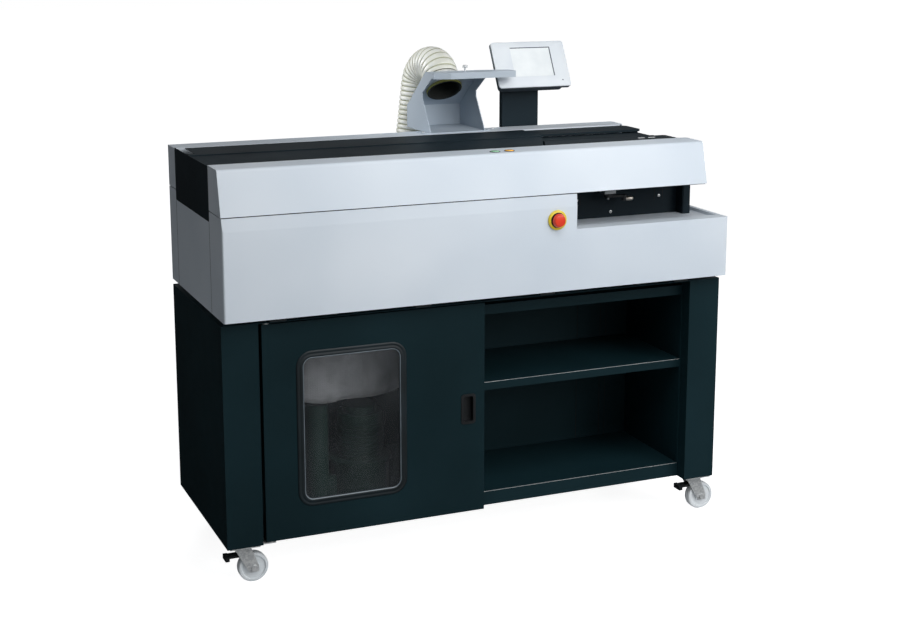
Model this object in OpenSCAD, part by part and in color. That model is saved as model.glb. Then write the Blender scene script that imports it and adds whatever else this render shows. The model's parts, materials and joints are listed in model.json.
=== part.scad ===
// Floor-standing perfect binding machine on a castered cabinet.
// Heights are measured from the floor; depths from the front face of the lower body;
// widths from the centre. Every module is drawn in that frame and moved back by placed().

/* [Body] */
// Width of the whole machine body
body_w = 1350; // [1250:10:1500]
// Depth of the body from front face to rear wall
body_d = 526; // [500:2:600]
// Height of the lower body
body_h = 245; // [235:1:280]
// Height of the front cover above the lower body
cover_h = 109; // [104:1:130]
// Sheet metal thickness of body and covers
sheet = 2; // [1.5:0.25:3]
// Radius of the upright front corners of the body
corner_r = 5; // [3:1:12]
// Height of the leaning band along the body's top front edge
band_h = 32; // [20:1:45]
// How far that band leans back
band_lean = 3; // [0:0.5:5]
// Depth of the front shell and front cover where they wrap round the ends
front_wrap = 113; // [100:1:120]
// Depth of the rear cover
rear_cover_d = 76; // [72:1:90]
// How far the rear cover stays below the front cover's top
rear_cover_drop = 3; // [0:0.5:6]
// Shadow gap between the covers and the lower body
seam = 2.4; // [1:0.2:4]
// Distance from the body's right end to the right end of the covers
cover_end_gap = 66; // [55:1:80]
// Height of the black end panel's lower edge below the lower body's top
end_panel_drop = 25; // [10:1:40]
// How far the front cover's face leans back over its height
cover_lean = 27; // [10:1:40]
// Radius along the front cover's top front edge
cover_edge_r = 9; // [4:1:14]

/* [Delivery recess] */
// Distance from the machine's centre to the recess's left edge
recess_x = 232; // [200:1:280]
// Height of the tray's lip above the lower body's underside
lip_h = 156; // [140:1:170]
// Depth of the flat lip along the front
lip_d = 38; // [25:1:60]
// How far the tray lies below the lip
tray_drop = 8; // [4:1:14]
// Depth of the recess from the front face to its back plate
recess_d = 155; // [145:1:160]
// Width of the black flange at the recess's right end
end_flange_w = 20; // [15:1:30]
// Depth of the recess's right cheek in front of the back plate
cheek_d = 32; // [20:1:45]

/* [Cabinet] */
// Height from floor to the underside of the legs
caster_h = 101; // [96:1:115]
// Height of the cabinet
base_h = 551; // [520:1:640]
// Gap between the cabinet and the body
body_gap = 14; // [8:1:24]
// How far the cabinet's front stands behind the body's front
base_inset = 33; // [20:1:45]
// How far the cabinet's back stands in front of the body's rear wall
base_back_inset = 2; // [0:1:10]
// Width of a leg's front face
leg_w = 89; // [80:1:110]
// Depth of a leg channel
leg_d = 40; // [32:1:60]
// Thickness of the leg's bottom plate
leg_plate = 5; // [3:0.5:8]
// How far shelf fronts stand behind the cabinet's front
shelf_inset = 37; // [30:1:50]
// Height of the cabinet floor above the leg's underside
floor_rise = 35; // [25:1:60]
// Height of the middle shelf above the cabinet floor
shelf_rise = 294; // [220:1:340]
// Height of the middle shelf's front flange
shelf_flange = 21; // [14:1:30]
// Depth of the open bay behind its shelf fronts
bay_d = 293; // [240:1:340]
// Height of the bay's top rail
rail_h = 25; // [18:1:35]
// Distance from the cabinet's top to the top rail
rail_drop = 20; // [12:1:30]
// Distance from the centre to the partition beside the door
partition_x = -2; // [-40:1:40]

/* [Door] */
// Thickness of the door
door_t = 20; // [16:1:26]
// Gap between the left leg and the door
door_gap = 8; // [4:1:12]
// Gap above and below the door
door_end_gap = 6; // [3:0.5:8]
// Width of the door window
window_w = 244; // [200:1:300]
// Height of the door window
window_h = 352; // [280:1:400]
// Corner radius of the window
window_r = 20; // [12:1:30]
// Distance from the door's left edge to the window's centre
window_x = 223; // [200:1:260]
// Width of the rubber gasket outside the window
gasket_w = 19; // [14:1:26]
// How far the gasket stands proud of the door
gasket_proud = 3; // [1.5:0.5:5]
// Thickness of the window pane
pane_t = 3; // [2:0.5:4]
// Width of the recessed pull
pull_w = 39; // [32:1:50]
// Height of the recessed pull
pull_h = 78; // [60:1:110]
// Distance from the door's free edge to the pull's centre
pull_x = 44; // [36:1:80]
// Radius of the door's pivot pins
pivot_r = 4; // [3:0.25:5]

/* [Casters] */
// Diameter of a caster wheel
wheel_d = 75; // [65:1:80]
// Width of a caster wheel
wheel_w = 24; // [18:1:30]
// Distance from swivel axis to wheel axle
trail = 26; // [18:1:32]
// Side of the square mounting plate
plate_side = 74; // [66:1:80]
// Distance the rear casters stand further in than the front ones
rear_in = 40; // [10:1:60]
// Radius of the wheel axle
axle_r = 5; // [4:0.5:6]

/* [Top] */
// Distance from the end panel to the long top cover's left end
well_w = 20; // [10:1:40]
// Distance from the centre to the long top cover's right end at the rear
top_cover_x = 288; // [260:1:292]
// Distance from the body's front to the ridge of the top cover
ridge_y = 302; // [285:1:340]
// How far the top cover's front edge lies below its ridge
top_cover_fall = 9; // [4:1:9]
// Thickness of the tables at the right
table_t = 6; // [4:0.5:8]
// How far the tables lie below the front cover's top
table_drop = 6; // [5:0.5:10]
// Radius of the top cover's hinge pins
hinge_r = 3; // [2.5:0.25:4]

/* [Binding mechanism] */
// Radius of the carriage's guide rods
rod_r = 10; // [8:0.5:12]
// Length of the clamp jaws
jaw_l = 300; // [240:1:300]
// Height of the clamp jaws
jaw_h = 104; // [90:1:110]
// Thickness of a clamp jaw
jaw_t = 10; // [8:0.5:12]
// Opening between the jaws at rest
jaw_open = 11; // [4:0.5:14]
// Distance from the front to the fixed jaw's face
jaw_y = 247; // [244:1:250]
// Thickness of the carriage's end plates
carriage_t = 12; // [10:1:14]
// Travel of the clamp carriage
carriage_travel = 620; // [500:1:630]
// Pitch radius of the drive pulleys
pulley_r = 20; // [16:1:22]
// Thickness of the drive belt
belt_t = 2; // [1.5:0.25:3]
// Width of the drive belt
belt_w = 12; // [8:1:14]
// Radius of the milling cutter
cutter_r = 75; // [55:1:80]
// Thickness of the milling cutter
cutter_t = 8; // [6:1:10]
// Radius of the glue roller
roller_r = 32; // [26:1:36]
// Width of the glue roller
roller_w = 120; // [90:1:130]
// Length of the glue tank
tank_l = 170; // [150:1:190]
// Wall of the glue tank
tank_wall = 6; // [4:0.5:8]
// Radius of the nipping table's guide columns
column_r = 8; // [6:0.5:10]

/* [Dust collection] */
// Radius of the blower's motor
motor_r = 57; // [48:1:62]
// Radius of the blower's housing
blower_r = 75; // [66:1:84]
// Height of the blower's housing
blower_h = 100; // [80:1:120]
// Height of the blower's motor
blower_motor_h = 118; // [90:1:124]

/* [Fume hood] */
// Distance between the hood's cheeks
hood_w = 161; // [140:1:180]
// Distance from the centre to the hood's left cheek
hood_x = 25; // [-20:1:60]
// Sheet thickness of the hood
hood_t = 2; // [1.5:0.25:3]
// Outer radius of the ribbed hose
hose_r = 50; // [48:1:52]
// Depth of a rib
rib_depth = 3; // [2:0.5:4]
// Wall of the hose under its ribs
hose_wall = 2.5; // [1.5:0.25:3]
// Number of ribs along the hose
rib_count = 88; // [60:1:140]
// Radius of the hose's bends along its centre line
hose_bend = 62; // [58:1:64]

/* [Controls] */
// Width of the display housing
display_w = 222; // [200:1:260]
// Height of the display housing
display_h = 137; // [120:1:160]
// Thickness of the display's front bezel
bezel_t = 16; // [12:1:20]
// Depth of the display's rear housing
display_back = 28; // [20:1:36]
// Lean of the display's face from upright, in degrees
display_tilt = 28; // [15:1:35]
// Width of the display's post
post_w = 111; // [90:1:130]
// Depth of the display's post
post_d = 18; // [14:1:24]
// Diameter of the emergency stop's collar
estop_d = 50; // [40:1:56]
// Diameter of the emergency stop's head
estop_head_d = 36; // [26:1:38]
// How far the emergency stop stands out
estop_out = 20; // [18:1:34]
// Diameter of the buttons on the front cover
button_d = 22; // [16:1:28]
// Travel of the buttons
button_travel = 2; // [1:0.5:3]

/* [Hidden] */
$fn = 48;

// Clearance between pieces that move past each other, and radial clearance of shafts
gap = 0.3;
fit = 0.05;
// A little more than nothing, so that cuts pass right through
eps = 1;

// Heights above the floor
base_z0 = caster_h;
base_z1 = base_z0 + base_h;
body_z0 = base_z1 + body_gap;
body_z1 = body_z0 + body_h;
cover_z1 = body_z1 + cover_h;
rear_z1 = cover_z1 - rear_cover_drop;
lip_z = body_z0 + lip_h;
tray_z = lip_z - tray_drop;
floor_z = base_z0 + floor_rise;
shelf_z = floor_z + shelf_rise;
table_z = cover_z1 - table_drop;
panel_z0 = body_z1 - end_panel_drop;

// Depths behind the body's front face
base_y0 = base_inset;
base_y1 = body_d - base_back_inset;
shelf_y = base_y0 + shelf_inset;
bay_y1 = shelf_y + bay_d;
rear_y0 = body_d - rear_cover_d;

// Widths from the centre
half_w = body_w / 2;
leg_in = half_w - leg_w;
cover_x1 = half_w - cover_end_gap;
end_x = cover_x1 + 3;

// Reach of the whole machine, for the origin under the middle of its box
hose_y = body_d + 172;
caster_x = half_w - leg_w / 2;
rear_x = caster_x - rear_in;
right_reach = caster_x + trail + wheel_d / 2;
mid_x = (right_reach - half_w) / 2;

// Paints and finishes
grey_paint = "#CCD6E0";
dark_paint = "#1C262E";
black_paint = "#1A252C";
zinc = "#C8CCCC";
steel = "#9AA0A6";
rubber = "#202528";

module placed() {
    translate([-mid_x, -mid_y, 0]) children();
}

// A box from its low to its high corner
module block(x, y, z) {
    translate([x[0], y[0], z[0]]) cube([x[1] - x[0], y[1] - y[0], z[1] - z[0]]);
}

module rod_x(x, y, z, r) {
    translate([x[0], y, z]) rotate([0, 90, 0]) cylinder(h = x[1] - x[0], r = r);
}

module rod_y(x, y, z, r) {
    translate([x, y[0], z]) rotate([-90, 0, 0]) cylinder(h = y[1] - y[0], r = r);
}

module rod_z(x, y, z, r) {
    translate([x, y, z[0]]) cylinder(h = z[1] - z[0], r = r);
}

// Extrudes a (depth, height) outline along the width
module along_x(x) {
    translate([x[0], 0, 0]) rotate([90, 0, 90]) linear_extrude(x[1] - x[0]) children();
}

// Extrudes a (width, height) outline along the depth
module along_y(y) {
    translate([0, y[1], 0]) rotate([90, 0, 0]) linear_extrude(y[1] - y[0]) children();
}

module rounded_rect(w, h, r) {
    square([w - 2 * r, h], center = true);
    square([w, h - 2 * r], center = true);
    for (sx = [-1, 1], sy = [-1, 1])
        translate([sx * (w / 2 - r), sy * (h / 2 - r)]) circle(r);
}

// ---------------------------------------------------------------- cabinet

// Left frame: side sheet with a folded channel leg at the front and at the rear
module side_frame_shape() {
    block([-half_w, -half_w + sheet], [base_y0, base_y1], [base_z0, base_z1 - sheet]);
    for (rear = [0, 1]) {
        face = rear ? base_y1 - sheet : base_y0;
        lip = rear ? base_y1 - leg_d : base_y0;
        block([-half_w, -leg_in], [face, face + sheet], [base_z0, base_z1 - sheet]);
        block([-leg_in - sheet, -leg_in], [lip, lip + leg_d], [base_z0, base_z1 - sheet]);
        plate_y = rear ? base_y1 - plate_side - sheet : base_y0;
        block([-half_w, -leg_in], [plate_y, plate_y + plate_side + sheet],
              [base_z0, base_z0 + leg_plate]);
        if (rear)
            block([-leg_in - sheet, plate_side / 2 - rear_x], [plate_y, base_y1 - 2 * sheet],
                  [base_z0, base_z0 + leg_plate]);
    }
}

module side_frame_left() {
    color(dark_paint) placed() side_frame_shape();
}

module side_frame_right() {
    color(dark_paint) placed() mirror([1, 0, 0]) side_frame_shape();
}

module base_top_panel() {
    color(dark_paint) placed()
        block([-half_w, half_w], [base_y0, base_y1], [base_z1 - sheet, base_z1]);
}

bay_x0 = partition_x + sheet / 2;
bay_x1 = leg_in - sheet;

// Floor sheet with front and rear flanges, and the open bay's own floor plate on it
module base_floor() {
    color(dark_paint) placed() {
        block([-leg_in, leg_in], [shelf_y, base_y1 - sheet], [floor_z - sheet, floor_z]);
        block([bay_x0, bay_x1], [shelf_y, bay_y1], [floor_z - eps, floor_z + sheet]);
        block([-leg_in, leg_in], [shelf_y, shelf_y + sheet], [base_z0, floor_z]);
        block([-leg_in, leg_in], [base_y1 - 2 * sheet, base_y1 - sheet], [base_z0, floor_z]);
    }
}

rail_z1 = base_z1 - rail_drop;

// Partition, back wall and right wall of the open bay, with the rail along its top
module bay_liner() {
    color(dark_paint) placed() {
        difference() {
            block([bay_x0 - sheet, bay_x0], [base_y0 + door_t + 4, base_y1 - sheet],
                  [floor_z, base_z1 - sheet]);
            block([bay_x0 - sheet - eps, bay_x0 + eps], [base_y1 - 110, base_y1],
                  [hose_in_z - hose_r - 12, hose_in_z + hose_r + 12]);
        }
        block([bay_x0 - sheet, leg_in], [bay_y1, bay_y1 + sheet], [floor_z, base_z1 - sheet]);
        block([bay_x1, leg_in], [shelf_y, bay_y1 + sheet], [floor_z, base_z1 - sheet]);
        block([bay_x0 - sheet, leg_in], [shelf_y, shelf_y + sheet], [rail_z1 - rail_h, rail_z1]);
        block([bay_x0 - sheet, leg_in], [shelf_y, shelf_y + rail_h], [rail_z1 - sheet, rail_z1]);
    }
}

module mid_shelf() {
    color(dark_paint) placed() {
        block([bay_x0, bay_x1], [shelf_y, bay_y1], [shelf_z - sheet, shelf_z]);
        block([bay_x0, bay_x1], [shelf_y, shelf_y + sheet], [shelf_z - shelf_flange, shelf_z]);
        block([bay_x0, bay_x1], [bay_y1 - sheet, bay_y1], [shelf_z - shelf_flange, shelf_z]);
    }
}

hose_in_x = partition_x - 8;
hose_in_z = floor_z + 194;

module base_back_panel() {
    color(dark_paint) placed() difference() {
        block([-leg_in, leg_in], [base_y1 - sheet, base_y1], [base_z0, base_z1 - sheet]);
        rod_y(hose_in_x, [base_y1 - sheet - eps, base_y1 + eps], hose_in_z, hose_r + gap);
        for (i = [0 : 7])
            block([leg_in - 260, leg_in - 100], [base_y1 - sheet - eps, base_y1 + eps],
                  [base_z1 - 190 + i * 14, base_z1 - 185 + i * 14]);
    }
}

spacer_w = 40;
spacer_x = [-leg_in + 50, -half_w / 4, half_w / 4, leg_in - 26];
spacer_y = [base_y0, base_y1 - spacer_w];

module spacer_blocks() {
    color(rubber) placed()
        for (x = spacer_x, y = spacer_y)
            block([x - spacer_w / 2, x + spacer_w / 2], [y, y + spacer_w], [base_z1, body_z0]);
}

// ---------------------------------------------------------------- door

door_x0 = -leg_in + door_gap;
door_x1 = bay_x0 - sheet - 2;
door_z0 = base_z0 + door_end_gap;
door_z1 = base_z1 - sheet - door_end_gap / 2;
door_y1 = base_y0 + door_t;
win_x = door_x0 + window_x;
win_z = (door_z0 + door_z1) / 2 + 1;
pull_cx = door_x1 - pull_x;
pivot_x = door_x0 + 12;
pivot_y = base_y0 + door_t / 2;
pivot_block = 14;
grip_w = gasket_w / 2;

module window_outline(grow) {
    translate([win_x, win_z])
        rounded_rect(window_w + 2 * grow, window_h + 2 * grow, window_r + grow);
}

module pull_outline(w, h) {
    translate([pull_cx, win_z]) rounded_rect(w, h, w / 5);
}

pull_cup_w = pull_w - 9;
pull_cup_h = pull_h - 9;

module door_panel() {
    color(dark_paint) placed() difference() {
        union() {
            difference() {
                block([door_x0, door_x1], [base_y0, door_y1], [door_z0, door_z1]);
                block([door_x0 + sheet, door_x1 - sheet], [base_y0 + sheet, door_y1 + eps],
                      [door_z0 + sheet, door_z1 - sheet]);
            }
            block([door_x0, pivot_x + pivot_block], [base_y0, door_y1],
                  [door_z0, door_z0 + pivot_block]);
            block([door_x0, pivot_x + pivot_block], [base_y0, door_y1],
                  [door_z1 - pivot_block, door_z1]);
        }
        along_y([base_y0 - eps, door_y1]) window_outline(grip_w);
        along_y([base_y0 - eps, door_y1]) pull_outline(pull_cup_w + 2 * gap, pull_cup_h + 2 * gap);
        rod_z(pivot_x, pivot_y, [door_z0 - eps, door_z0 + pivot_block + eps], pivot_r + fit);
        rod_z(pivot_x, pivot_y, [door_z1 - pivot_block - eps, door_z1 + eps], pivot_r + fit);
    }
}

module window_gasket() {
    color(rubber) placed() difference() {
        union() {
            along_y([base_y0 - gasket_proud, base_y0]) window_outline(gasket_w);
            along_y([base_y0, base_y0 + sheet]) window_outline(grip_w);
            along_y([base_y0 + sheet, base_y0 + sheet + pane_t]) window_outline(gasket_w - 4);
        }
        along_y([base_y0 - gasket_proud - eps, base_y0 + sheet + pane_t + eps]) window_outline(0);
        along_y([base_y0, base_y0 + pane_t]) window_outline(grip_w - 4);
    }
}

module window_pane() {
    color("#70757A") placed()
        along_y([base_y0, base_y0 + pane_t]) window_outline(grip_w - 4);
}

module door_pull() {
    color(black_paint) placed() difference() {
        union() {
            along_y([base_y0 - 1.5, base_y0]) pull_outline(pull_w, pull_h);
            along_y([base_y0, door_y1 - 4]) pull_outline(pull_cup_w, pull_cup_h);
        }
        along_y([base_y0 - 1.5 - eps, door_y1 - 6])
            pull_outline(pull_cup_w - 2 * sheet, pull_cup_h - 2 * sheet);
    }
}

// Pivot pins above and below the door, each with its washer and bracket
module door_hinges() {
    color(zinc) placed() {
        block([-leg_in, pivot_x + 12], [base_y0 + sheet, shelf_y], [door_z0 - 5, door_z0 - 2]);
        rod_z(pivot_x, pivot_y, [door_z0 - 2, door_z0 - gap], 2 * pivot_r);
        rod_z(pivot_x, pivot_y, [door_z0 - 2, door_z0 + pivot_block - 2], pivot_r);
        rod_z(pivot_x, pivot_y, [door_z1 + gap, base_z1 - sheet], 2 * pivot_r);
        rod_z(pivot_x, pivot_y, [door_z1 - pivot_block + 2, base_z1 - sheet], pivot_r);
    }
}

// ---------------------------------------------------------------- dust collection

blower_x = win_x + 77;
blower_y = door_y1 + 152;
bag_z0 = floor_z + blower_h + blower_motor_h + 32;
bag_pipe_r = 30;
bag_pipe_x = blower_x - blower_r - bag_pipe_r - 10;

module dust_blower() {
    color("#16302C") placed() {
        rod_z(blower_x, blower_y, [floor_z, floor_z + blower_h], blower_r);
        rod_z(blower_x, blower_y, [floor_z + blower_h - 8, floor_z + blower_h], blower_r + 6);
        rod_z(blower_x, blower_y, [floor_z + blower_h, floor_z + blower_h + blower_motor_h],
              motor_r);
        rod_z(blower_x, blower_y, [floor_z + blower_h + blower_motor_h, bag_z0 - 14],
              motor_r - 14);
        block([bag_pipe_x, blower_x], [blower_y - 25, blower_y + 25], [floor_z, floor_z + 60]);
        rod_z(bag_pipe_x, blower_y, [floor_z, bag_z0], bag_pipe_r);
    }
}

bag_x = [door_x0 + 60, door_x0 + 420];
bag_y = [blower_y - 80, blower_y + 100];
bag_z1 = base_z1 - 12;
bag_round = 34;

// The collecting bag hangs from its hook and stands over the blower's outlet
module dust_bag() {
    color("#8A8A8E") placed() {
        intersection() {
            hull()
                for (x = bag_x, y = bag_y, z = [bag_z0, bag_z1]) {
                    cx = x == bag_x[0] ? x + bag_round : x - bag_round;
                    cy = y == bag_y[0] ? y + bag_round : y - bag_round;
                    cz = z == bag_z0 ? z + bag_round : z - bag_round;
                    translate([cx, cy, cz]) sphere(bag_round, $fn = 16);
                }
            block(bag_x, bag_y, [bag_z0, bag_z1]);
        }
        rod_z(bag_x[0] + 120, blower_y, [bag_z1 - 2, base_z1 - sheet], 6);
    }
}

// ---------------------------------------------------------------- lower body

inlet_x = half_w - 115;
inlet_z = body_z0 + 60;
estop_x = 176;
estop_z = body_z0 + 183;
estop_stem_r = 11;
collar_t = 6;

// The front of the body as a solid, drawn in by a distance on every outer face
module front_solid(inset) {
    intersection() {
        along_x([-half_w + inset, half_w - inset])
            polygon([[inset, body_z0], [inset, body_z1 - band_h],
                     [inset + band_lean, body_z1], [front_wrap, body_z1], [front_wrap, body_z0]]);
        translate([0, front_wrap / 2 + corner_r / 2, 0])
            linear_extrude(body_z1 + eps)
                rounded_rect(body_w - 2 * inset, front_wrap + corner_r - 2 * inset,
                             corner_r - inset / 2);
    }
}

module body_front_shell() {
    color(grey_paint) placed() difference() {
        front_solid(0);
        difference() {
            front_solid(sheet);
            block([-half_w, recess_x], [0, front_wrap + eps], [body_z1 - sheet, body_z1 + eps]);
        }
        block([-half_w + sheet, recess_x - sheet], [20, front_wrap + eps],
              [body_z1 - sheet - eps, body_z1 + eps]);
        block([recess_x, half_w + eps], [-eps, front_wrap + eps], [lip_z, body_z1 + eps]);
        block([-half_w + sheet, half_w - sheet], [front_wrap - sheet, front_wrap + eps],
              [body_z0 - eps, body_z1 + eps]);
        rod_y(estop_x, [-eps, sheet + eps], estop_z, estop_stem_r + 3 + fit);
    }
}

module body_end_panels() {
    color(grey_paint) placed() {
        block([-half_w, -half_w + sheet], [front_wrap, rear_y0], [body_z0, panel_z0]);
        block([half_w - sheet, half_w], [front_wrap, rear_y0], [body_z0, lip_z]);
    }
}

// Rear wall, its returns round both ends and the bottom pan in one folded piece
module body_rear_shell() {
    color(grey_paint) placed() {
        difference() {
            union() {
                block([-half_w, end_x + sheet], [body_d - sheet, body_d], [body_z0, body_z1]);
                block([end_x, half_w], [body_d - sheet, body_d], [body_z0, lip_z]);
            }
            block([inlet_x - 14 - fit, inlet_x + 14 + fit], [body_d - sheet - eps, body_d + eps],
                  [inlet_z - 10 - fit, inlet_z + 10 + fit]);
        }
        block([-half_w, -half_w + sheet], [rear_y0, body_d], [body_z0, body_z1]);
        block([half_w - sheet, half_w], [rear_y0, body_d], [body_z0, lip_z]);
        block([-half_w + sheet, half_w - sheet], [corner_r, body_d], [body_z0, body_z0 + sheet]);
    }
}

end_lip = 12;

// Tray with its flat lip, carried on round the right-hand end
module delivery_tray() {
    color(grey_paint) placed() {
        difference() {
            along_x([recess_x, half_w - end_lip])
                polygon([[sheet, lip_z - sheet], [lip_d, lip_z - sheet],
                         [lip_d + 12, tray_z - sheet], [recess_d, tray_z - sheet],
                         [recess_d, tray_z], [lip_d + 12.6, tray_z],
                         [lip_d + 0.6, lip_z], [sheet, lip_z]]);
            block([end_x - sheet - 0.6, end_x - sheet], [lip_d + 12.3, recess_d + eps],
                  [tray_z - sheet - eps, tray_z + eps]);
        }
        block([end_x + end_flange_w, half_w - sheet], [recess_d - 1, body_d - sheet],
              [tray_z - sheet, tray_z]);
        block([half_w - end_lip - 1, half_w - sheet], [corner_r, body_d - sheet],
              [lip_z - sheet, lip_z]);
        block([half_w - end_lip - 1, half_w - corner_r - 0.5], [sheet, corner_r + 1],
              [lip_z - sheet, lip_z]);
        block([half_w - end_lip - 1, half_w - end_lip + 1], [lip_d, body_d - sheet],
              [tray_z - sheet, lip_z]);
    }
}

ceiling_z = body_z1 + seam - sheet;

// Black back plate of the recess with its right cheek and the ceiling under the front cover
module recess_plate() {
    color(black_paint) placed() {
        block([recess_x, end_x - sheet], [recess_d, recess_d + sheet],
              [tray_z - sheet, ceiling_z + sheet]);
        block([recess_x, cover_x1 - sheet], [band_lean + 2 * sheet, recess_d + 1],
              [ceiling_z, ceiling_z + sheet]);
        block([end_x - sheet, end_x], [recess_d - cheek_d, recess_d + sheet],
              [tray_z, ceiling_z + sheet]);
    }
}

module right_end_panel() {
    color(black_paint) placed() {
        block([end_x, end_x + sheet], [recess_d - cheek_d, body_d - sheet],
              [tray_z, rear_z1 - 24]);
        block([end_x, end_x + end_flange_w], [recess_d - cheek_d - sheet, recess_d - cheek_d],
              [tray_z, body_z1]);
    }
}

// ---------------------------------------------------------------- upper covers

seam_y = band_lean + 0.4;

// The cover's end outline: its leaning face runs tangent into the rounded top edge
module cover_profile(inset) {
    top = cover_z1 - inset;
    r = cover_edge_r - inset / 2;
    foot = [seam_y + inset, body_z1 + seam];
    c = [foot[0] + cover_lean * (cover_h - cover_edge_r) / cover_h + r, top - r];
    reach = norm(c - foot);
    slope = atan2(c[1] - foot[1], c[0] - foot[0]) + asin(r / reach);
    touch = foot + sqrt(reach * reach - r * r) * [cos(slope), sin(slope)];
    polygon([foot, [front_wrap, foot[1]], [front_wrap, top], [c[0], top], c, touch]);
    translate(c) circle(r);
}

button_y = 58;
button_x = [32, 71];
face_slope = cover_lean / cover_h;
strip_h = 20;

module front_cover() {
    color(grey_paint) placed() {
        difference() {
            along_x([-half_w, cover_x1]) cover_profile(0);
            along_x([-half_w + sheet, cover_x1 - sheet]) difference() {
                cover_profile(sheet);
                translate([front_wrap - sheet, cover_z1 - 14]) square([2 * sheet, 20]);
            }
            block([-half_w + sheet, cover_x1 - sheet], [seam_y + sheet, front_wrap - sheet],
                  [body_z1 + seam - eps, body_z1 + seam + sheet + eps]);
            for (x = button_x)
                rod_z(x, button_y, [cover_z1 - sheet - eps, cover_z1 + eps], button_d / 2 + gap);
        }
        along_x([-half_w + sheet, recess_x - sheet])
            polygon([[seam_y + 1.3, body_z1], [seam_y + 1.3 + sheet, body_z1],
                     [seam_y + 1.3 + sheet + strip_h * face_slope, body_z1 + strip_h],
                     [seam_y + 1.3 + strip_h * face_slope, body_z1 + strip_h]]);
        block([top_cover_x - 86, cover_x1 - sheet], [front_wrap - sheet, front_wrap + 10],
              [plate_top - 6, plate_top]);
    }
}

module rear_profile(inset) {
    polygon([[rear_y0 + inset, body_z1 + seam], [body_d - inset, body_z1 + seam],
             [body_d - inset, rear_z1 - inset], [rear_y0 + inset, rear_z1 - inset]]);
}

rear_x1 = end_x - 0.4;
hinge_y = rear_y0 - 8;
hinge_z = rear_z1 - 12;
hinge_x = [-480, 140];
knuckle_l = 40;
lug_t = 6;

module rear_cover() {
    color(grey_paint) placed() {
        difference() {
            along_x([-half_w, rear_x1]) rear_profile(0);
            along_x([-half_w + sheet, rear_x1 - sheet]) rear_profile(sheet);
            block([-half_w + sheet, end_x], [rear_y0 - eps, rear_y0 + sheet + eps],
                  [body_z1, rear_z1 - 26]);
            block([-half_w + sheet, rear_x1 - sheet], [rear_y0, body_d - sheet],
                  [body_z1, body_z1 + seam + sheet + eps]);
            block([rear_x1 - 14, end_x], [rear_y0 - eps, rear_y0 + 12], [body_z1, rear_z1 + eps]);
        }
        block([-half_w + 2 * sheet, rear_x1 - 8], [body_d - 2 * sheet, body_d - sheet],
              [body_z1 - 10, body_z1 + 20]);
        block([top_cover_x + 6, cover_x1 - 8], [rear_y0 - 8, rear_y0 + sheet],
              [plate_top - 4, plate_top]);
        for (x = hinge_x) {
            for (side = [-1, 1]) {
                lug_x = x + side * (knuckle_l / 2 + gap + lug_t / 2);
                block([lug_x - lug_t / 2, lug_x + lug_t / 2], [hinge_y - 2 * hinge_r, rear_y0],
                      [hinge_z - 2 * hinge_r, hinge_z + 2 * hinge_r]);
            }
            rod_x([x - knuckle_l / 2 - gap - lug_t, x + knuckle_l / 2 + gap + lug_t],
                  hinge_y, hinge_z, hinge_r);
        }
    }
}

module left_end_panel() {
    color(black_paint) placed()
        block([-half_w, -half_w + sheet], [front_wrap, rear_y0], [panel_z0, cover_z1 - 2]);
}

cover_rest_z = cover_z1 - 2;
top_cover_x0 = -half_w + sheet + 1;
top_cover_y0 = front_wrap + 2;

// Long cover over the milling and gluing stations, folded along its ridge
module top_cover() {
    flat_y = rear_y0 - 14;
    color(black_paint) placed() difference() {
        union() {
            intersection() {
                along_x([top_cover_x0, top_cover_x])
                    polygon([[top_cover_y0, cover_rest_z - top_cover_fall],
                             [ridge_y, cover_rest_z - sheet], [ridge_y, cover_rest_z],
                             [flat_y, cover_rest_z], [flat_y, cover_rest_z - sheet],
                             [ridge_y + sheet, cover_rest_z - sheet],
                             [ridge_y, cover_rest_z - 2 * sheet],
                             [top_cover_y0, cover_rest_z - top_cover_fall - sheet]]);
                linear_extrude(cover_z1 + eps)
                    polygon([[top_cover_x0, top_cover_y0], [top_cover_x - 93, top_cover_y0],
                             [top_cover_x - 8, ridge_y], [top_cover_x, flat_y],
                             [top_cover_x0 + well_w, flat_y],
                             [top_cover_x0 + well_w, ridge_y + 30], [top_cover_x0, ridge_y + 30]]);
            }
            for (x = hinge_x) {
                rod_x([x - knuckle_l / 2, x + knuckle_l / 2], hinge_y, hinge_z, 2 * hinge_r);
                block([x - knuckle_l / 2, x + knuckle_l / 2], [flat_y - 12, hinge_y],
                      [hinge_z, hinge_z + 2 * hinge_r]);
                block([x - knuckle_l / 2, x + knuckle_l / 2], [flat_y - 12, flat_y],
                      [hinge_z, cover_rest_z - sheet / 2]);
            }
        }
        for (x = hinge_x)
            rod_x([x - knuckle_l / 2 - eps, x + knuckle_l / 2 + eps], hinge_y, hinge_z,
                  hinge_r + fit);
    }
}

// ---------------------------------------------------------------- binding mechanism

carriage_x0 = cover_x1 - jaw_l - 2 * carriage_t - 10;
carriage_x1 = carriage_x0 + jaw_l + 2 * carriage_t;
rod_y_front = 178;
rod_y_rear = 398;
rod_height = body_z1 + 30;
plate_t = 8;
plate_l_x = -half_w + 27;
plate_r_x = end_x - plate_t - 1;
plate_top = table_z - table_t;
jaw_top = plate_top - 4;
jaw_z0 = jaw_top - jaw_h;
deck_y1 = 352;
belt_y = rear_y0 - 20;
belt_z = rod_height + 12;
drive_x = plate_l_x + 44;
idle_x = plate_r_x - 34;
shaft_r = 5;
lever_x = 382;
lever_y = 118;
lever_z = body_z1 - 31;
lever_l = 44;
nip_z0 = jaw_z0 - 44;
nip_z1 = nip_z0 + 14;
nip_lift = 12;
table_flange = 24;

// Front and rear tables beside the clamp, on flanges turned down to the frame plate
function cover_side(y) = top_cover_x - 93 + 85 * (y - top_cover_y0) / (ridge_y - top_cover_y0);

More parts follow.
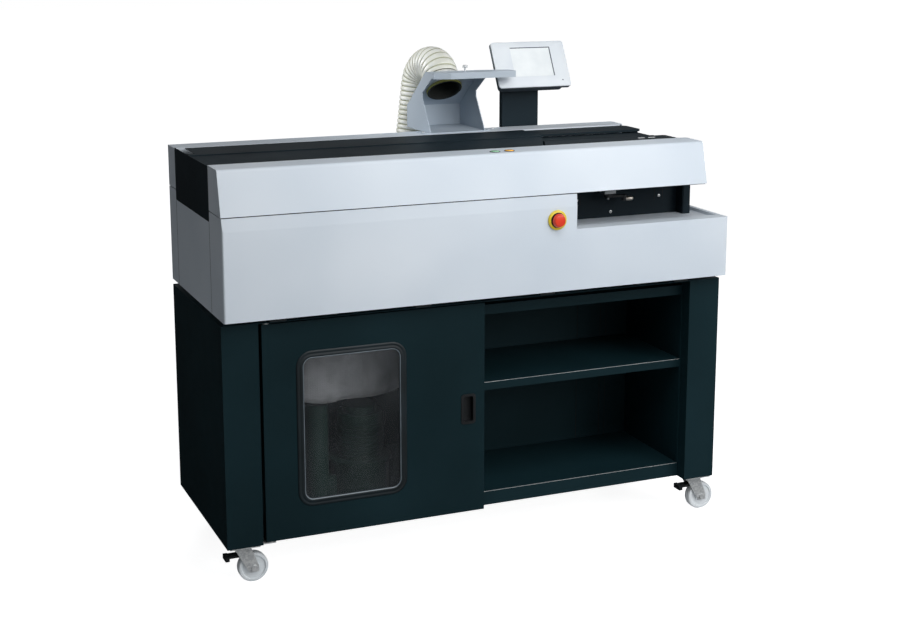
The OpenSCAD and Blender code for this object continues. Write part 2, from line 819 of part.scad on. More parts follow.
module cover_tables() {
    table_y0 = front_wrap + 3;
    table_y1 = jaw_y - jaw_open - jaw_t - 5;
    color(black_paint) placed() {
        linear_extrude_at(plate_top, table_t)
            polygon([[cover_side(table_y0) + 5, table_y0], [cover_x1 - 2, table_y0],
                     [cover_x1 - 1, table_y0 + 1], [cover_x1 - 1, table_y1 - 6],
                     [cover_x1 - 7, table_y1], [cover_side(table_y1) + 5, table_y1]]);
        linear_extrude_at(plate_top, table_t)
            polygon([[top_cover_x + 3, deck_y1 + 3], [cover_x1 - 4, deck_y1 + 3],
                     [cover_x1 + 3, deck_y1 + 10], [cover_x1 + 3, rear_y0 - 12],
                     [cover_x1 - 6, rear_y0 - 2], [top_cover_x + 3, rear_y0 - 2]]);
        for (y = [[recess_d + 5, table_y1 - 8], [deck_y1 + 12, rear_y0 - 14]])
            block([plate_r_x, plate_r_x + plate_t / 2], y,
                  [plate_top - table_flange, plate_top + 1]);
    }
}

module linear_extrude_at(z, h) {
    translate([0, 0, z]) linear_extrude(h) children();
}

// Two upright plates that carry the rods and tables, and the lever's block
module frame_plates() {
    color(steel) placed() {
        difference() {
            union() {
                block([plate_l_x, plate_l_x + plate_t], [front_wrap + 6, rear_y0 - 12],
                      [body_z0 + sheet, plate_top - 4]);
                block([plate_r_x, plate_r_x + plate_t], [recess_d + 5, rear_y0 - 6],
                      [body_z0 + sheet, plate_top - table_flange]);
                block([plate_r_x - 46, plate_r_x], [rear_y0 - 10, rear_y0 - 6],
                      [belt_z - 12, belt_z + 12]);
                rod_y(idle_x, [belt_y - belt_w / 2, rear_y0 - 6], belt_z, shaft_r);
            }
            for (y = [rod_y_front, rod_y_rear])
                rod_x([plate_l_x - eps, end_x], y, rod_height, rod_r);
        }
        block([lever_x - 16, lever_x + 16], [lever_y - 14, lever_y + 14],
              [lever_z + 5, ceiling_z]);
        rod_z(lever_x, lever_y, [lever_z - 12, lever_z + 6], 4);
    }
}

nip_x = [carriage_x0 + 20, carriage_x1 - 20];
column_x = [carriage_x0 + 60, carriage_x1 - 60];
column_y = 285;

// Guide rods of the carriage and upright columns of the nipping table
module guide_rods() {
    color("#D8DCE0") placed() {
        for (y = [rod_y_front, rod_y_rear])
            rod_x([plate_l_x, plate_r_x + plate_t], y, rod_height, rod_r);
        for (x = column_x)
            rod_z(x, column_y, [body_z0 + sheet, nip_z0 + 10], column_r);
    }
}

pin_x = [carriage_x0 + carriage_t + 14, carriage_x1 - carriage_t - 14];
pin_z = (jaw_z0 + jaw_top) / 2;
pin_r = 6;

// Carriage: end plates on the rods, the fixed jaw and the deck behind it
module clamp_carriage() {
    color("#3A4248") placed() difference() {
        union() {
            for (x = [carriage_x0, carriage_x1 - carriage_t])
                block([x, x + carriage_t], [rod_y_front - 16, rod_y_rear + 16],
                      [jaw_z0 + 15, jaw_top]);
            block([carriage_x0, carriage_x0 + carriage_t], [rod_y_rear, belt_y + belt_w / 2 + 4],
                  [belt_z + 8, belt_z + pulley_r + 8]);
            block([carriage_x0, carriage_x1], [jaw_y, jaw_y + jaw_t + 2], [jaw_z0, jaw_top + 2]);
            block([carriage_x0, carriage_x1], [jaw_y, deck_y1], [jaw_top - 4, jaw_top + 2]);
            block([carriage_x1 - eps, carriage_x1 + 10], [jaw_y, jaw_y + 37],
                  [jaw_top - 4, jaw_top + 2]);
        }
        for (y = [rod_y_front, rod_y_rear])
            rod_x([carriage_x0 - eps, carriage_x1 + eps], y, rod_height, rod_r + fit);
        for (x = pin_x)
            rod_y(x, [jaw_y - eps, jaw_y + jaw_t + 3], pin_z, pin_r + fit);
        block([carriage_x0 - eps, carriage_x1 + eps], [jaw_y + 37, jaw_y + 40],
              [jaw_top - 1, jaw_top + 3]);
        block([carriage_x0 - eps, carriage_x0 + carriage_t + eps],
              [belt_y - belt_w / 2 - gap, belt_y + belt_w / 2 + gap],
              [belt_z + pulley_r - belt_t / 2 - gap, belt_z + pulley_r + belt_t / 2 + gap]);
    }
}

// Moving jaw on two guide pins that run through the fixed jaw
module clamp_jaw() {
    jaw_back = jaw_y - jaw_open;
    color(steel) placed() {
        block([carriage_x0 + carriage_t + gap, carriage_x1 - carriage_t - gap],
              [jaw_back - jaw_t, jaw_back], [jaw_z0, jaw_top]);
        block([carriage_x0 + 2, carriage_x1 + 8], [jaw_back - jaw_t - 1, jaw_back],
              [jaw_top + gap, jaw_top + 2]);
        block([carriage_x0 + carriage_t + 2, carriage_x1 - carriage_t - 2],
              [jaw_back - jaw_t, jaw_back], [jaw_top - 1, jaw_top + 1]);
        for (x = pin_x)
            rod_y(x, [jaw_back - eps, jaw_y + jaw_t + 22], pin_z, pin_r);
    }
}

// A run between two pulleys as squares and circles, so that its curves stay true
module belt_run(r) {
    translate([drive_x, belt_z]) circle(r);
    translate([idle_x, belt_z]) circle(r);
    translate([drive_x, belt_z - r]) square([idle_x - drive_x, 2 * r]);
}

module drive_belt() {
    color(rubber) placed()
        along_y([belt_y - belt_w / 2, belt_y + belt_w / 2]) difference() {
            belt_run(pulley_r + belt_t / 2);
            belt_run(pulley_r - belt_t / 2);
        }
}

pulley_face = belt_w + 2;

module pulley_drive() {
    color(zinc) placed() {
        rod_y(drive_x, [belt_y - pulley_face / 2, belt_y + pulley_face / 2], belt_z,
              pulley_r - belt_t / 2 - gap);
        rod_y(drive_x, [belt_y - pulley_face / 2 - 6, rear_y0 + 16], belt_z, shaft_r);
    }
}

module pulley_idle() {
    color(zinc) placed() difference() {
        rod_y(idle_x, [belt_y - pulley_face / 2, belt_y + pulley_face / 2], belt_z,
              pulley_r - belt_t / 2 - gap);
        rod_y(idle_x, [belt_y - pulley_face, belt_y + pulley_face], belt_z, shaft_r + fit);
    }
}

cutter_x = hood_x + hood_w / 2 + 15;
cutter_y = jaw_y + 8;
cutter_z = jaw_z0 - 10;
spindle_r = 10;
mill_motor_r = 52;

// Carriage motor behind the drive pulley, and milling motor on its stand
module drive_motors() {
    motor_y = rear_y0 + 6;
    color("#2B3338") placed() {
        difference() {
            rod_y(drive_x, [motor_y, body_d - 8], belt_z, 26);
            rod_y(drive_x, [motor_y - eps, rear_y0 + 18], belt_z, shaft_r + fit);
        }
        block([drive_x - 26, drive_x + 26], [motor_y + 4, body_d - 8],
              [body_z0 + sheet, belt_z - 10]);
        difference() {
            rod_z(cutter_x, cutter_y, [cutter_z - 150, cutter_z - cutter_t - 14], mill_motor_r);
            rod_z(cutter_x, cutter_y, [cutter_z - 60, cutter_z], spindle_r + fit);
        }
        block([cutter_x - mill_motor_r, cutter_x + mill_motor_r],
              [cutter_y - mill_motor_r, cutter_y + mill_motor_r],
              [body_z0 + sheet, cutter_z - 150]);
    }
}

teeth = 18;

module cutter_disc() {
    color(steel) placed() difference() {
        union() {
            rod_z(cutter_x, cutter_y, [cutter_z - cutter_t, cutter_z], cutter_r - 4);
            for (i = [0 : teeth - 1])
                translate([cutter_x, cutter_y, cutter_z - cutter_t])
                    rotate(i * 360 / teeth)
                        translate([cutter_r - 8, -4, 0]) cube([8, 8, cutter_t + 2]);
            rod_z(cutter_x, cutter_y, [cutter_z - 50, cutter_z - cutter_t + eps], spindle_r);
            rod_z(cutter_x, cutter_y, [cutter_z - cutter_t - 14 + gap, cutter_z - cutter_t],
                  spindle_r + 12);
        }
        for (a = [45 : 90 : 360])
            translate([cutter_x, cutter_y, cutter_z - cutter_t - eps])
                rotate(a) translate([cutter_r / 2, 0, 0])
                    cylinder(h = cutter_t + 2 * eps, r = 9);
    }
}

tank_x1 = cutter_x - cutter_r - 20;
tank_x0 = tank_x1 - tank_l;
roller_x = (tank_x0 + tank_x1) / 2;
roller_z = jaw_z0 - 10 - roller_r;
tank_z1 = roller_z + 16;
tank_z0 = roller_z - roller_r - 14;
tank_y = [cutter_y - roller_w / 2 - 16, cutter_y + roller_w / 2 + 16];

module glue_tank() {
    color("#6E767C") placed() difference() {
        union() {
            block([tank_x0, tank_x1], tank_y, [tank_z0, tank_z1]);
            for (x = [tank_x0 + 12, tank_x1 - 24], y = [tank_y[0] + 8, tank_y[1] - 20])
                block([x, x + 12], [y, y + 12], [body_z0 + sheet, tank_z0]);
        }
        block([tank_x0 + tank_wall, tank_x1 - tank_wall],
              [tank_y[0] + tank_wall, tank_y[1] - tank_wall], [tank_z0 + tank_wall, tank_z1 + eps]);
        rod_y(roller_x, [tank_y[0] - eps, tank_y[1] + eps], roller_z, spindle_r + fit);
    }
}

module glue_roller() {
    color("#C9CDD0") placed() {
        rod_y(roller_x, [cutter_y - roller_w / 2, cutter_y + roller_w / 2], roller_z, roller_r);
        rod_y(roller_x, [tank_y[0] - 14, tank_y[1] + 14], roller_z, spindle_r);
    }
}

// Lifting table with the rear nipping jaw and the sleeves that slide on its columns
module nip_table() {
    color(steel) placed() difference() {
        union() {
            block(nip_x, [jaw_y - 60, jaw_y + 60], [nip_z0, nip_z1]);
            block(nip_x, [jaw_y + 2, jaw_y + 14], [nip_z0, nip_z1 + 15]);
            for (x = column_x)
                rod_z(x, column_y, [nip_z0 - 30, nip_z0 + eps], column_r + 6);
        }
        for (x = column_x)
            rod_z(x, column_y, [nip_z0 - 30 - eps, nip_z1 + eps], column_r + fit);
    }
}

module nip_jaw() {
    color(steel) placed()
        block([nip_x[0], nip_x[1]], [jaw_y - 33, jaw_y - 21], [nip_z1 + gap, nip_z1 + 15]);
}

// ---------------------------------------------------------------- controls

module estop_collar() {
    color("#E8D03A") placed() difference() {
        union() {
            rod_y(estop_x, [-collar_t, 0], estop_z, estop_d / 2);
            rod_y(estop_x, [0, sheet + 20], estop_z, estop_stem_r + 3);
        }
        rod_y(estop_x, [-collar_t - eps, sheet + 21], estop_z, estop_stem_r + fit);
    }
}

module estop_head() {
    color("#E24A2E") placed() {
        rod_y(estop_x, [-estop_out + 3, -collar_t - 5], estop_z, estop_head_d / 2);
        rod_y(estop_x, [-estop_out, -estop_out + 3], estop_z, estop_head_d / 2 - 3);
        rod_y(estop_x, [-collar_t - 5, 16], estop_z, estop_stem_r);
    }
}

module cover_button(x) {
    rod_z(x, button_y, [cover_z1 - 14, cover_z1 + 3], button_d / 2);
    rod_z(x, button_y, [cover_z1 - 8, cover_z1 - sheet - gap], button_d / 2 + 2);
}

module start_button() {
    color("#9FD0B0") placed() cover_button(button_x[0]);
}

module stop_button() {
    color("#F2B23C") placed() cover_button(button_x[1]);
}

// Release lever under the recess's ceiling: black arm with a steel grip
module release_lever() {
    color(black_paint) placed() difference() {
        union() {
            rod_z(lever_x, lever_y, [lever_z - 6, lever_z + 5 - gap], 11);
            translate([lever_x, lever_y, lever_z - 6]) rotate([0, 0, -12]) {
                translate([0, -6, 0]) cube([lever_l, 12, 6]);
                translate([lever_l, 0, -10]) cylinder(h = 16, r = 7);
                translate([lever_l - 4, 0, -4]) rotate([0, 90, 0]) cylinder(h = 24, r = 5);
                translate([lever_l + 20, 0, -4]) sphere(5);
            }
        }
        rod_z(lever_x, lever_y, [lever_z - 7, lever_z + 6], 4 + fit);
    }
}

post_x = 323;
post_y = body_d + 4;
post_z0 = body_z1 - 60;
display_c = [post_x + 20, body_d - 26, rear_z1 + 175];
pivot_z = display_c[2] - 48;
display_pivot_y = display_c[1] + 46;
display_pivot_r = 6;
neck_back = (display_pivot_y - display_c[1]) * cos(display_tilt)
    + (display_c[2] - pivot_z) * sin(display_tilt);

// Post on the rear wall, with the two ears of the tilt pivot
module display_post() {
    top = pivot_z - 30;
    color("#1E2B32") placed() {
        block([post_x - post_w / 2, post_x + post_w / 2], [post_y, post_y + post_d],
              [post_z0, top]);
        block([post_x - post_w / 2 + 10, post_x + post_w / 2 - 10], [body_d, post_y],
              [post_z0 + 4, body_z1 - 6]);
        for (side = [-1, 1]) {
            ear = post_x + side * 30;
            block([ear - 4, ear + 4], [display_pivot_y - 8, display_pivot_y + 8],
                  [top - eps, pivot_z]);
            rod_x([ear - 4, ear + 4], display_pivot_y, pivot_z, 8);
        }
        rod_x([post_x - 34, post_x + 34], display_pivot_y, pivot_z, display_pivot_r);
    }
}

// Bezel and rear housing, drawn upright about the face's centre and leaned back
module display_housing() {
    color("#E2E8F0") placed() difference() {
        union() {
            translate(display_c) rotate([-display_tilt, 0, 0]) {
                along_y([0, bezel_t]) rounded_rect(display_w, display_h, 8);
                along_y([bezel_t, bezel_t + display_back])
                    translate([0, -2]) rounded_rect(display_w - 26, display_h - 14, 10);
                block([post_x - display_c[0] - 26 + gap, post_x - display_c[0] + 26 - gap],
                      [bezel_t + display_back - 4, neck_back], [-32, -10]);
            }
            rod_x([post_x - 26 + gap, post_x + 26 - gap], display_pivot_y, pivot_z,
                  display_pivot_r + 5);
        }
        rod_x([post_x - 27, post_x + 27], display_pivot_y, pivot_z, display_pivot_r + fit);
        for (side = [-1, 1])
            block([post_x + side * 30 - 5, post_x + side * 30 + 5],
                  [display_pivot_y - 20, display_pivot_y + 20], [pivot_z - 40, pivot_z + 26]);
        translate(display_c) rotate([-display_tilt, 0, 0])
            translate([3, 0, 6]) along_y([-eps, 2]) rounded_rect(120, 85, 2);
    }
}

// ---------------------------------------------------------------- fume hood

hood_x1 = hood_x + hood_w;
// Depth and height of the hood's side outline, from its front foot round its back
foot_y = rear_y0 + 12;
slope_low = [body_d + 110, rear_z1 + 60];
slope_high = [body_d - 28, rear_z1 + 164];
duct_x = hood_x + hood_w / 2;
slope_a = atan2(slope_high[1] - slope_low[1], slope_low[0] - slope_high[0]);
duct_y = body_d + 38;
duct_c = [duct_x, duct_y, slope_high[1] - (duct_y - slope_high[0]) * tan(slope_a)];
duct_in = 4;

module cheek_outline() {
    polygon([[foot_y, rear_z1 + 2], [foot_y + 60, rear_z1 + 90], [foot_y + 60, rear_z1 + 106],
             [foot_y - 6, rear_z1 + 148], [foot_y - 24, slope_high[1] - 10],
             [foot_y - 24, slope_high[1]], slope_high, slope_low,
             [slope_low[0], rear_z1 + 2]]);
}

module hood_shell() {
    color("#9EADBB") placed() {
        for (x = [hood_x, hood_x1 - hood_t])
            along_x([x, x + hood_t]) cheek_outline();
        difference() {
            along_x([hood_x, hood_x1])
                polygon([slope_low, slope_high,
                         slope_high + [0, -hood_t * 1.3], slope_low + [0, -hood_t * 1.3]]);
            translate(duct_c) rotate([-slope_a, 0, 0])
                translate([0, 0, -30]) cylinder(h = 60, r = hose_r + 1);
        }
        along_x([hood_x, hood_x1])
            polygon([[slope_low[0] - hood_t, rear_z1 + 2], [slope_low[0], rear_z1 + 2],
                     slope_low, slope_low - [hood_t, 0]]);
        block([hood_x - 22, hood_x1 + 14], [foot_y, body_d - 8], [rear_z1, rear_z1 + 2]);
        block([hood_x, hood_x1], [body_d - 9, slope_low[0]], [rear_z1, rear_z1 + 2]);
        linear_extrude_at(slope_high[1] - hood_t, hood_t)
            polygon([[hood_x, slope_high[0]], [hood_x, foot_y - 4], [hood_x + 50, foot_y - 24],
                     [hood_x1 + 80, foot_y - 24], [hood_x1 + 80, slope_high[0] - 20],
                     [hood_x1, slope_high[0]]]);
        block([hood_x + 50, hood_x1 + 80], [foot_y - 24, foot_y - 24 + hood_t],
              [slope_high[1] - 17, slope_high[1]]);
        linear_extrude_at(slope_high[1] - 17, 17)
            polygon([[hood_x, foot_y - 4], [hood_x + 50, foot_y - 24],
                     [hood_x + 50, foot_y - 24 + hood_t], [hood_x, foot_y - 4 + hood_t * 1.2]]);
    }
}

// Corner points of the hose's centre line: out of the hood, down behind the machine, and in
duct_start = duct_c - duct_in * [0, sin(slope_a), cos(slope_a)];
hose_route = [duct_start,
              [duct_x, hose_y, duct_start[2] + (hose_y - duct_start[1]) / tan(slope_a)],
              [hose_in_x, hose_y, hose_in_z], [hose_in_x, base_y1, hose_in_z]];
hose_sides = 12;
bore_step = 4;

function unit(v) = v / norm(v);
function turn(v, axis, a) =
    v * cos(a) + cross(axis, v) * sin(a) + axis * (axis * v) * (1 - cos(a));

leg_dir = [for (i = [0 : 2]) unit(hose_route[i + 1] - hose_route[i])];
bend_axis = [for (i = [0 : 1]) unit(cross(leg_dir[i], leg_dir[i + 1]))];
bend_angle = [for (i = [0 : 1]) acos(leg_dir[i] * leg_dir[i + 1])];
bend_cut = [for (i = [0 : 1]) hose_bend * tan(bend_angle[i] / 2)];
bend_len = [for (i = [0 : 1]) hose_bend * bend_angle[i] * PI / 180];
run_len = [
    norm(hose_route[1] - hose_route[0]) - bend_cut[0],
    norm(hose_route[2] - hose_route[1]) - bend_cut[0] - bend_cut[1],
    norm(hose_route[3] - hose_route[2]) - bend_cut[1]
];
hose_len = run_len[0] + run_len[1] + run_len[2] + bend_len[0] + bend_len[1];
stops = [run_len[0], run_len[0] + bend_len[0], run_len[0] + bend_len[0] + run_len[1],
         hose_len - run_len[2]];

// How far each bend has turned at a distance along the hose, in degrees
function turned(s, i) =
    bend_angle[i] * max(0, min(1, (s - stops[2 * i]) / bend_len[i]));

// Centre of the hose at a distance along it
function hose_at(s) =
    s <= stops[0] ? hose_route[0] + leg_dir[0] * s :
    s <= stops[1] ? bend_at(0, turned(s, 0)) :
    s <= stops[2] ? hose_route[1] + leg_dir[1] * (bend_cut[0] + s - stops[1]) :
    s <= stops[3] ? bend_at(1, turned(s, 1)) :
    hose_route[3] - leg_dir[2] * (hose_len - s);
function bend_at(i, a) =
    let (from = hose_route[i + 1] - leg_dir[i] * bend_cut[i],
         out = cross(bend_axis[i], leg_dir[i]) * hose_bend)
    from + out - turn(out, bend_axis[i], a);

// A ring of the hose: both of its cross directions turn with the bends
function carried(v, s) = turn(turn(v, bend_axis[0], turned(s, 0)), bend_axis[1], turned(s, 1));
function ring(s, r) =
    let (u = carried(bend_axis[0], s), v = carried(cross(leg_dir[0], bend_axis[0]), s))
    [for (k = [0 : hose_sides - 1])
        hose_at(s) + r * (u * cos(k * 360 / hose_sides) + v * sin(k * 360 / hose_sides))];

function flatten(lists) = [for (list = lists) for (item = list) item];

rib_pitch = hose_len / rib_count;
bore_rings = floor(rib_count / bore_step);
outer_rings = [for (i = [0 : 2 * rib_count])
    ring(i * rib_pitch / 2, i % 2 == 0 ? hose_r - rib_depth : hose_r)];
inner_rings = [for (i = [0 : bore_rings])
    ring(hose_len * (1 - i / bore_rings), hose_r - rib_depth - hose_wall)];

// Ribbed tube: out along the ribs and back along the bore, closed into one surface
module exhaust_hose() {
    rings = concat(outer_rings, inner_rings);
    n = len(rings);
    points = flatten(rings);
    faces = flatten([for (i = [0 : n - 1], k = [0 : hose_sides - 1])
        let (a = i * hose_sides + k, b = i * hose_sides + (k + 1) % hose_sides,
             c = ((i + 1) % n) * hose_sides + k,
             d = ((i + 1) % n) * hose_sides + (k + 1) % hose_sides)
        [[a, b, c], [b, d, c]]]);
    color("#E8EAE4") placed() polyhedron(points = points, faces = faces);
}

// The hose's rearmost point closes the machine's box at the back
mid_y = (max([for (p = flatten(outer_rings)) p[1]]) - estop_out) / 2;
collar_l = 22;

module hose_collar_ring() {
    difference() {
        union() {
            cylinder(h = collar_l, r = hose_r + 5);
            cylinder(h = 4, r = hose_r + 16);
        }
        translate([0, 0, -eps]) cylinder(h = collar_l + 2 * eps, r = hose_r + gap);
    }
}

module hose_collars() {
    color(zinc) placed() {
        translate(duct_c) rotate([-slope_a, 0, 0]) hose_collar_ring();
        translate([hose_in_x, base_y1, hose_in_z]) rotate([-90, 0, 0]) hose_collar_ring();
    }
}

// ---------------------------------------------------------------- small parts

module power_inlet() {
    color(rubber) placed() difference() {
        union() {
            along_y([body_d, body_d + 3]) translate([inlet_x, inlet_z]) rounded_rect(50, 28, 4);
            block([inlet_x - 14, inlet_x + 14], [body_d - sheet - 20, body_d + eps],
                  [inlet_z - 10, inlet_z + 10]);
        }
        block([inlet_x - 11, inlet_x + 11], [body_d - 14, body_d + 3 + eps],
              [inlet_z - 7, inlet_z + 7]);
    }
}

screw_r = 4;

// Screw heads on the hood's foot, the recess plate and the rear cover, and the thumb screw
module screws() {
    color(zinc) placed() {
        for (x = [hood_x - 12, hood_x1 + 7])
            rod_z(x, foot_y + 22, [rear_z1 + 2, rear_z1 + 4], screw_r);
        for (p = [[recess_x + 78, tray_z + 50], [recess_x + 324, tray_z + 48],
                  [recess_x + 179, tray_z + 14]])
            rod_y(p[0], [recess_d - 2, recess_d], p[1], screw_r);
        rod_z(228, body_d - 20, [rear_z1, rear_z1 + 3], screw_r);
        rod_z(hood_x + 110, slope_high[0] - 14, [slope_high[1], slope_high[1] + 12], 2.5);
        rod_z(hood_x + 110, slope_high[0] - 14, [slope_high[1] + 9, slope_high[1] + 16], 7);
    }
}

// ---------------------------------------------------------------- casters

caster_y = [base_y0 + sheet / 2 + plate_side / 2, base_y1 - sheet / 2 - plate_side / 2];
wheel_r = wheel_d / 2;
race_h = 9;
top_plate_t = 3;
fork_gap = wheel_w + 4;
fork_t = 3;

// Cheeks and crown of a caster fork, the wheel's axle set off to the right of the crown
module fork_shape(crown, throw) {
    difference() {
        union() {
            for (side = [-1, 1]) {
                inner = side * (fork_gap / 2 + fork_t / 2);
                along_y([inner - fork_t / 2, inner + fork_t / 2])
                    polygon([[-20, crown], [20, crown], [throw + 12, wheel_r + 4],
                             [throw + 12, wheel_r - 10], [throw - 12, wheel_r - 10]]);
            }
            translate([-20, -fork_gap / 2 - fork_t, crown - fork_t])
                cube([40, fork_gap + 2 * fork_t, fork_t]);
        }
        rod_y(throw, [-fork_gap, fork_gap], wheel_r, axle_r);
    }
    rod_y(throw, [-fork_gap / 2 - fork_t, fork_gap / 2 + fork_t], wheel_r, axle_r);
    for (side = [-1, 1])
        rod_y(throw, [side * (fork_gap / 2 + fork_t + 2) - 2, side * (fork_gap / 2 + fork_t + 2) + 2],
              wheel_r, axle_r + 2.5);
}

swivel_z = base_z0 - top_plate_t - race_h;

// Mounting plates with their ball races at the front, and fixed brackets at the rear
module caster_plates() {
    color(zinc) placed()
        for (sx = [-1, 1]) {
            translate([sx * caster_x, caster_y[0], 0]) {
                block([-plate_side / 2, plate_side / 2], [-plate_side / 2, plate_side / 2],
                      [base_z0 - top_plate_t, base_z0]);
                rod_z(0, 0, [swivel_z + gap, base_z0 - top_plate_t], 24);
                rod_z(0, 0, [swivel_z - fork_t - 4, base_z0 - top_plate_t], 6);
            }
            translate([sx * rear_x, caster_y[1], 0]) {
                block([-plate_side / 2, plate_side / 2], [-plate_side / 2, plate_side / 2],
                      [base_z0 - top_plate_t, base_z0]);
                fork_shape(base_z0 - top_plate_t, 0);
            }
        }
}

pedal_x = -4;
pedal_z = swivel_z - 16;
pedal_pin_r = 2.5;

module front_fork(sx) {
    color(zinc) placed() translate([sx * caster_x, caster_y[0], 0]) {
        difference() {
            fork_shape(swivel_z, trail);
            rod_z(0, 0, [swivel_z - fork_t - eps, swivel_z + eps], 6 + fit);
        }
        rod_y(pedal_x, [-fork_gap / 2 - fork_t, fork_gap / 2 + fork_t], pedal_z, pedal_pin_r);
    }
}

module caster_fork_left() {
    front_fork(-1);
}

module caster_fork_right() {
    front_fork(1);
}

module wheel_at(x, y) {
    color("#E6EAEC") placed() difference() {
        union() {
            rod_y(x, [y - wheel_w / 2 + 3, y + wheel_w / 2 - 3], wheel_r, wheel_r);
            rod_y(x, [y - wheel_w / 2, y + wheel_w / 2], wheel_r, wheel_r - 3);
            rod_y(x, [y - fork_gap / 2 + gap, y + fork_gap / 2 - gap], wheel_r, 11);
        }
        rod_y(x, [y - fork_gap, y + fork_gap], wheel_r, axle_r + fit);
        for (side = [-1, 1])
            rotate_groove(x, y, side);
    }
}

// Shallow dish in each face of a wheel
module rotate_groove(x, y, side) {
    face = y + side * wheel_w / 2;
    difference() {
        rod_y(x, [face - 3, face + 3], wheel_r, wheel_r - 8);
        rod_y(x, [face - 4, face + 4], wheel_r, 15);
    }
}

module wheel_front_left() {
    wheel_at(-caster_x + trail, caster_y[0]);
}

module wheel_front_right() {
    wheel_at(caster_x + trail, caster_y[0]);
}

module wheel_rear_left() {
    wheel_at(-rear_x, caster_y[1]);
}

module wheel_rear_right() {
    wheel_at(rear_x, caster_y[1]);
}

pedal_w = fork_gap - 4;

// Brake pedal pivoting between the fork's cheeks, on the side away from the wheel
module pedal_at(sx) {
    color(rubber) placed() translate([sx * caster_x, caster_y[0], 0]) difference() {
        union() {
            rod_y(pedal_x, [-fork_gap / 2 + gap, fork_gap / 2 - gap], pedal_z, 5);
            block([-38, pedal_x], [-pedal_w / 2, pedal_w / 2], [pedal_z - 5, pedal_z + 1]);
            block([-44, -34], [-pedal_w / 2 - 3, pedal_w / 2 + 3], [pedal_z - 11, pedal_z + 1]);
        }
        rod_y(pedal_x, [-fork_gap, fork_gap], pedal_z, pedal_pin_r + fit);
    }
}

module brake_pedal_left() {
    pedal_at(-1);
}

module brake_pedal_right() {
    pedal_at(1);
}

side_frame_left();
side_frame_right();
base_top_panel();
base_floor();
mid_shelf();
bay_liner();
base_back_panel();
spacer_blocks();
door_panel();
window_gasket();
window_pane();
door_pull();
door_hinges();
dust_blower();
dust_bag();
body_front_shell();
body_rear_shell();
body_end_panels();
delivery_tray();
recess_plate();
front_cover();
rear_cover();
left_end_panel();
right_end_panel();
top_cover();
cover_tables();
frame_plates();
guide_rods();
clamp_carriage();
clamp_jaw();
drive_belt();
pulley_drive();
pulley_idle();
drive_motors();
cutter_disc();
glue_tank();
glue_roller();
nip_table();
nip_jaw();
estop_collar();
estop_head();
start_button();
stop_button();
display_post();
display_housing();
release_lever();
hood_shell();
exhaust_hose();
hose_collars();
power_inlet();
screws();
caster_plates();
caster_fork_left();
caster_fork_right();
wheel_front_left();
wheel_front_right();
wheel_rear_left();
wheel_rear_right();
brake_pedal_left();
brake_pedal_right();
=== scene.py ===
"""Perfect binding machine on a castered cabinet: its looks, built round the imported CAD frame."""
import json
import math

import bmesh
import bpy
from mathutils import Matrix, Vector


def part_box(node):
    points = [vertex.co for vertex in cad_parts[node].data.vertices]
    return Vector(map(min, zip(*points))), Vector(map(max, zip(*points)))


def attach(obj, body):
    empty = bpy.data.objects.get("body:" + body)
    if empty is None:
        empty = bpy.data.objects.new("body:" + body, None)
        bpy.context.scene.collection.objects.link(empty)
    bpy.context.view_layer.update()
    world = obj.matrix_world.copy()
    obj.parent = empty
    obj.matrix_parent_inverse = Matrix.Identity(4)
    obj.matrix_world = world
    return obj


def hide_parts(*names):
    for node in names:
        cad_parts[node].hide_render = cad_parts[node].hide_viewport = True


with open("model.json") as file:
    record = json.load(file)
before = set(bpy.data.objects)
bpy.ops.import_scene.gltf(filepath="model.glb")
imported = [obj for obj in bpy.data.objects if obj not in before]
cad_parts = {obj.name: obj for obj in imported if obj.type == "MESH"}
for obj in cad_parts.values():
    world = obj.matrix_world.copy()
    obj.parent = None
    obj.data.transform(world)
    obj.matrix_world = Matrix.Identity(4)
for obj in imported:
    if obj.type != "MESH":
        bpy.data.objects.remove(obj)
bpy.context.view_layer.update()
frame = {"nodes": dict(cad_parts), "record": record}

nodes = frame["nodes"]
record = frame["record"]

# The machine's own axes: widths from the middle of the body, depths from its front face,
# heights from the floor, all in millimetres.
shell_low, shell_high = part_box("body_front_shell")
MIDDLE = (shell_low.x + shell_high.x) / 2
FRONT = shell_low.y


def at(x, y, z):
    """A point in the machine's own millimetres, as metres in the frame."""
    return Vector((MIDDLE + x / 1000, FRONT + y / 1000, z / 1000))


# ------------------------------------------------------------------ materials

def linear(code):
    """An sRGB hex colour as linear RGBA."""
    values = [int(code[i:i + 2], 16) / 255 for i in (1, 3, 5)]
    return [v / 12.92 if v <= 0.04045 else ((v + 0.055) / 1.055) ** 2.4 for v in values] + [1]


def add(tree, kind, inputs=None, **settings):
    """Adds one node, sets it up and wires or fills its inputs."""
    node = tree.nodes.new(kind)
    for name, value in settings.items():
        setattr(node, name, value)
    for key, value in (inputs or {}).items():
        if isinstance(value, bpy.types.NodeSocket):
            tree.links.new(value, node.inputs[key])
        else:
            node.inputs[key].default_value = value
    return node


def surface(name, **values):
    """A material with its shader's sockets set, and its shader and tree for more."""
    material = bpy.data.materials.new(name)
    material.use_nodes = True
    tree = material.node_tree
    shader = tree.nodes["Principled BSDF"]
    for key, value in values.items():
        shader.inputs[key.replace("_", " ")].default_value = value
    return material, tree, shader


def tinted(tree, shader, factor, low, high, socket="Base Color", ends=(0.35, 0.65)):
    """Runs a pattern through a ramp between two colours and into the shader."""
    ramp = add(tree, "ShaderNodeValToRGB", {"Fac": factor})
    ramp.color_ramp.elements[0].position, ramp.color_ramp.elements[1].position = ends
    ramp.color_ramp.elements[0].color = low
    ramp.color_ramp.elements[1].color = high
    tree.links.new(ramp.outputs["Color"], shader.inputs[socket])


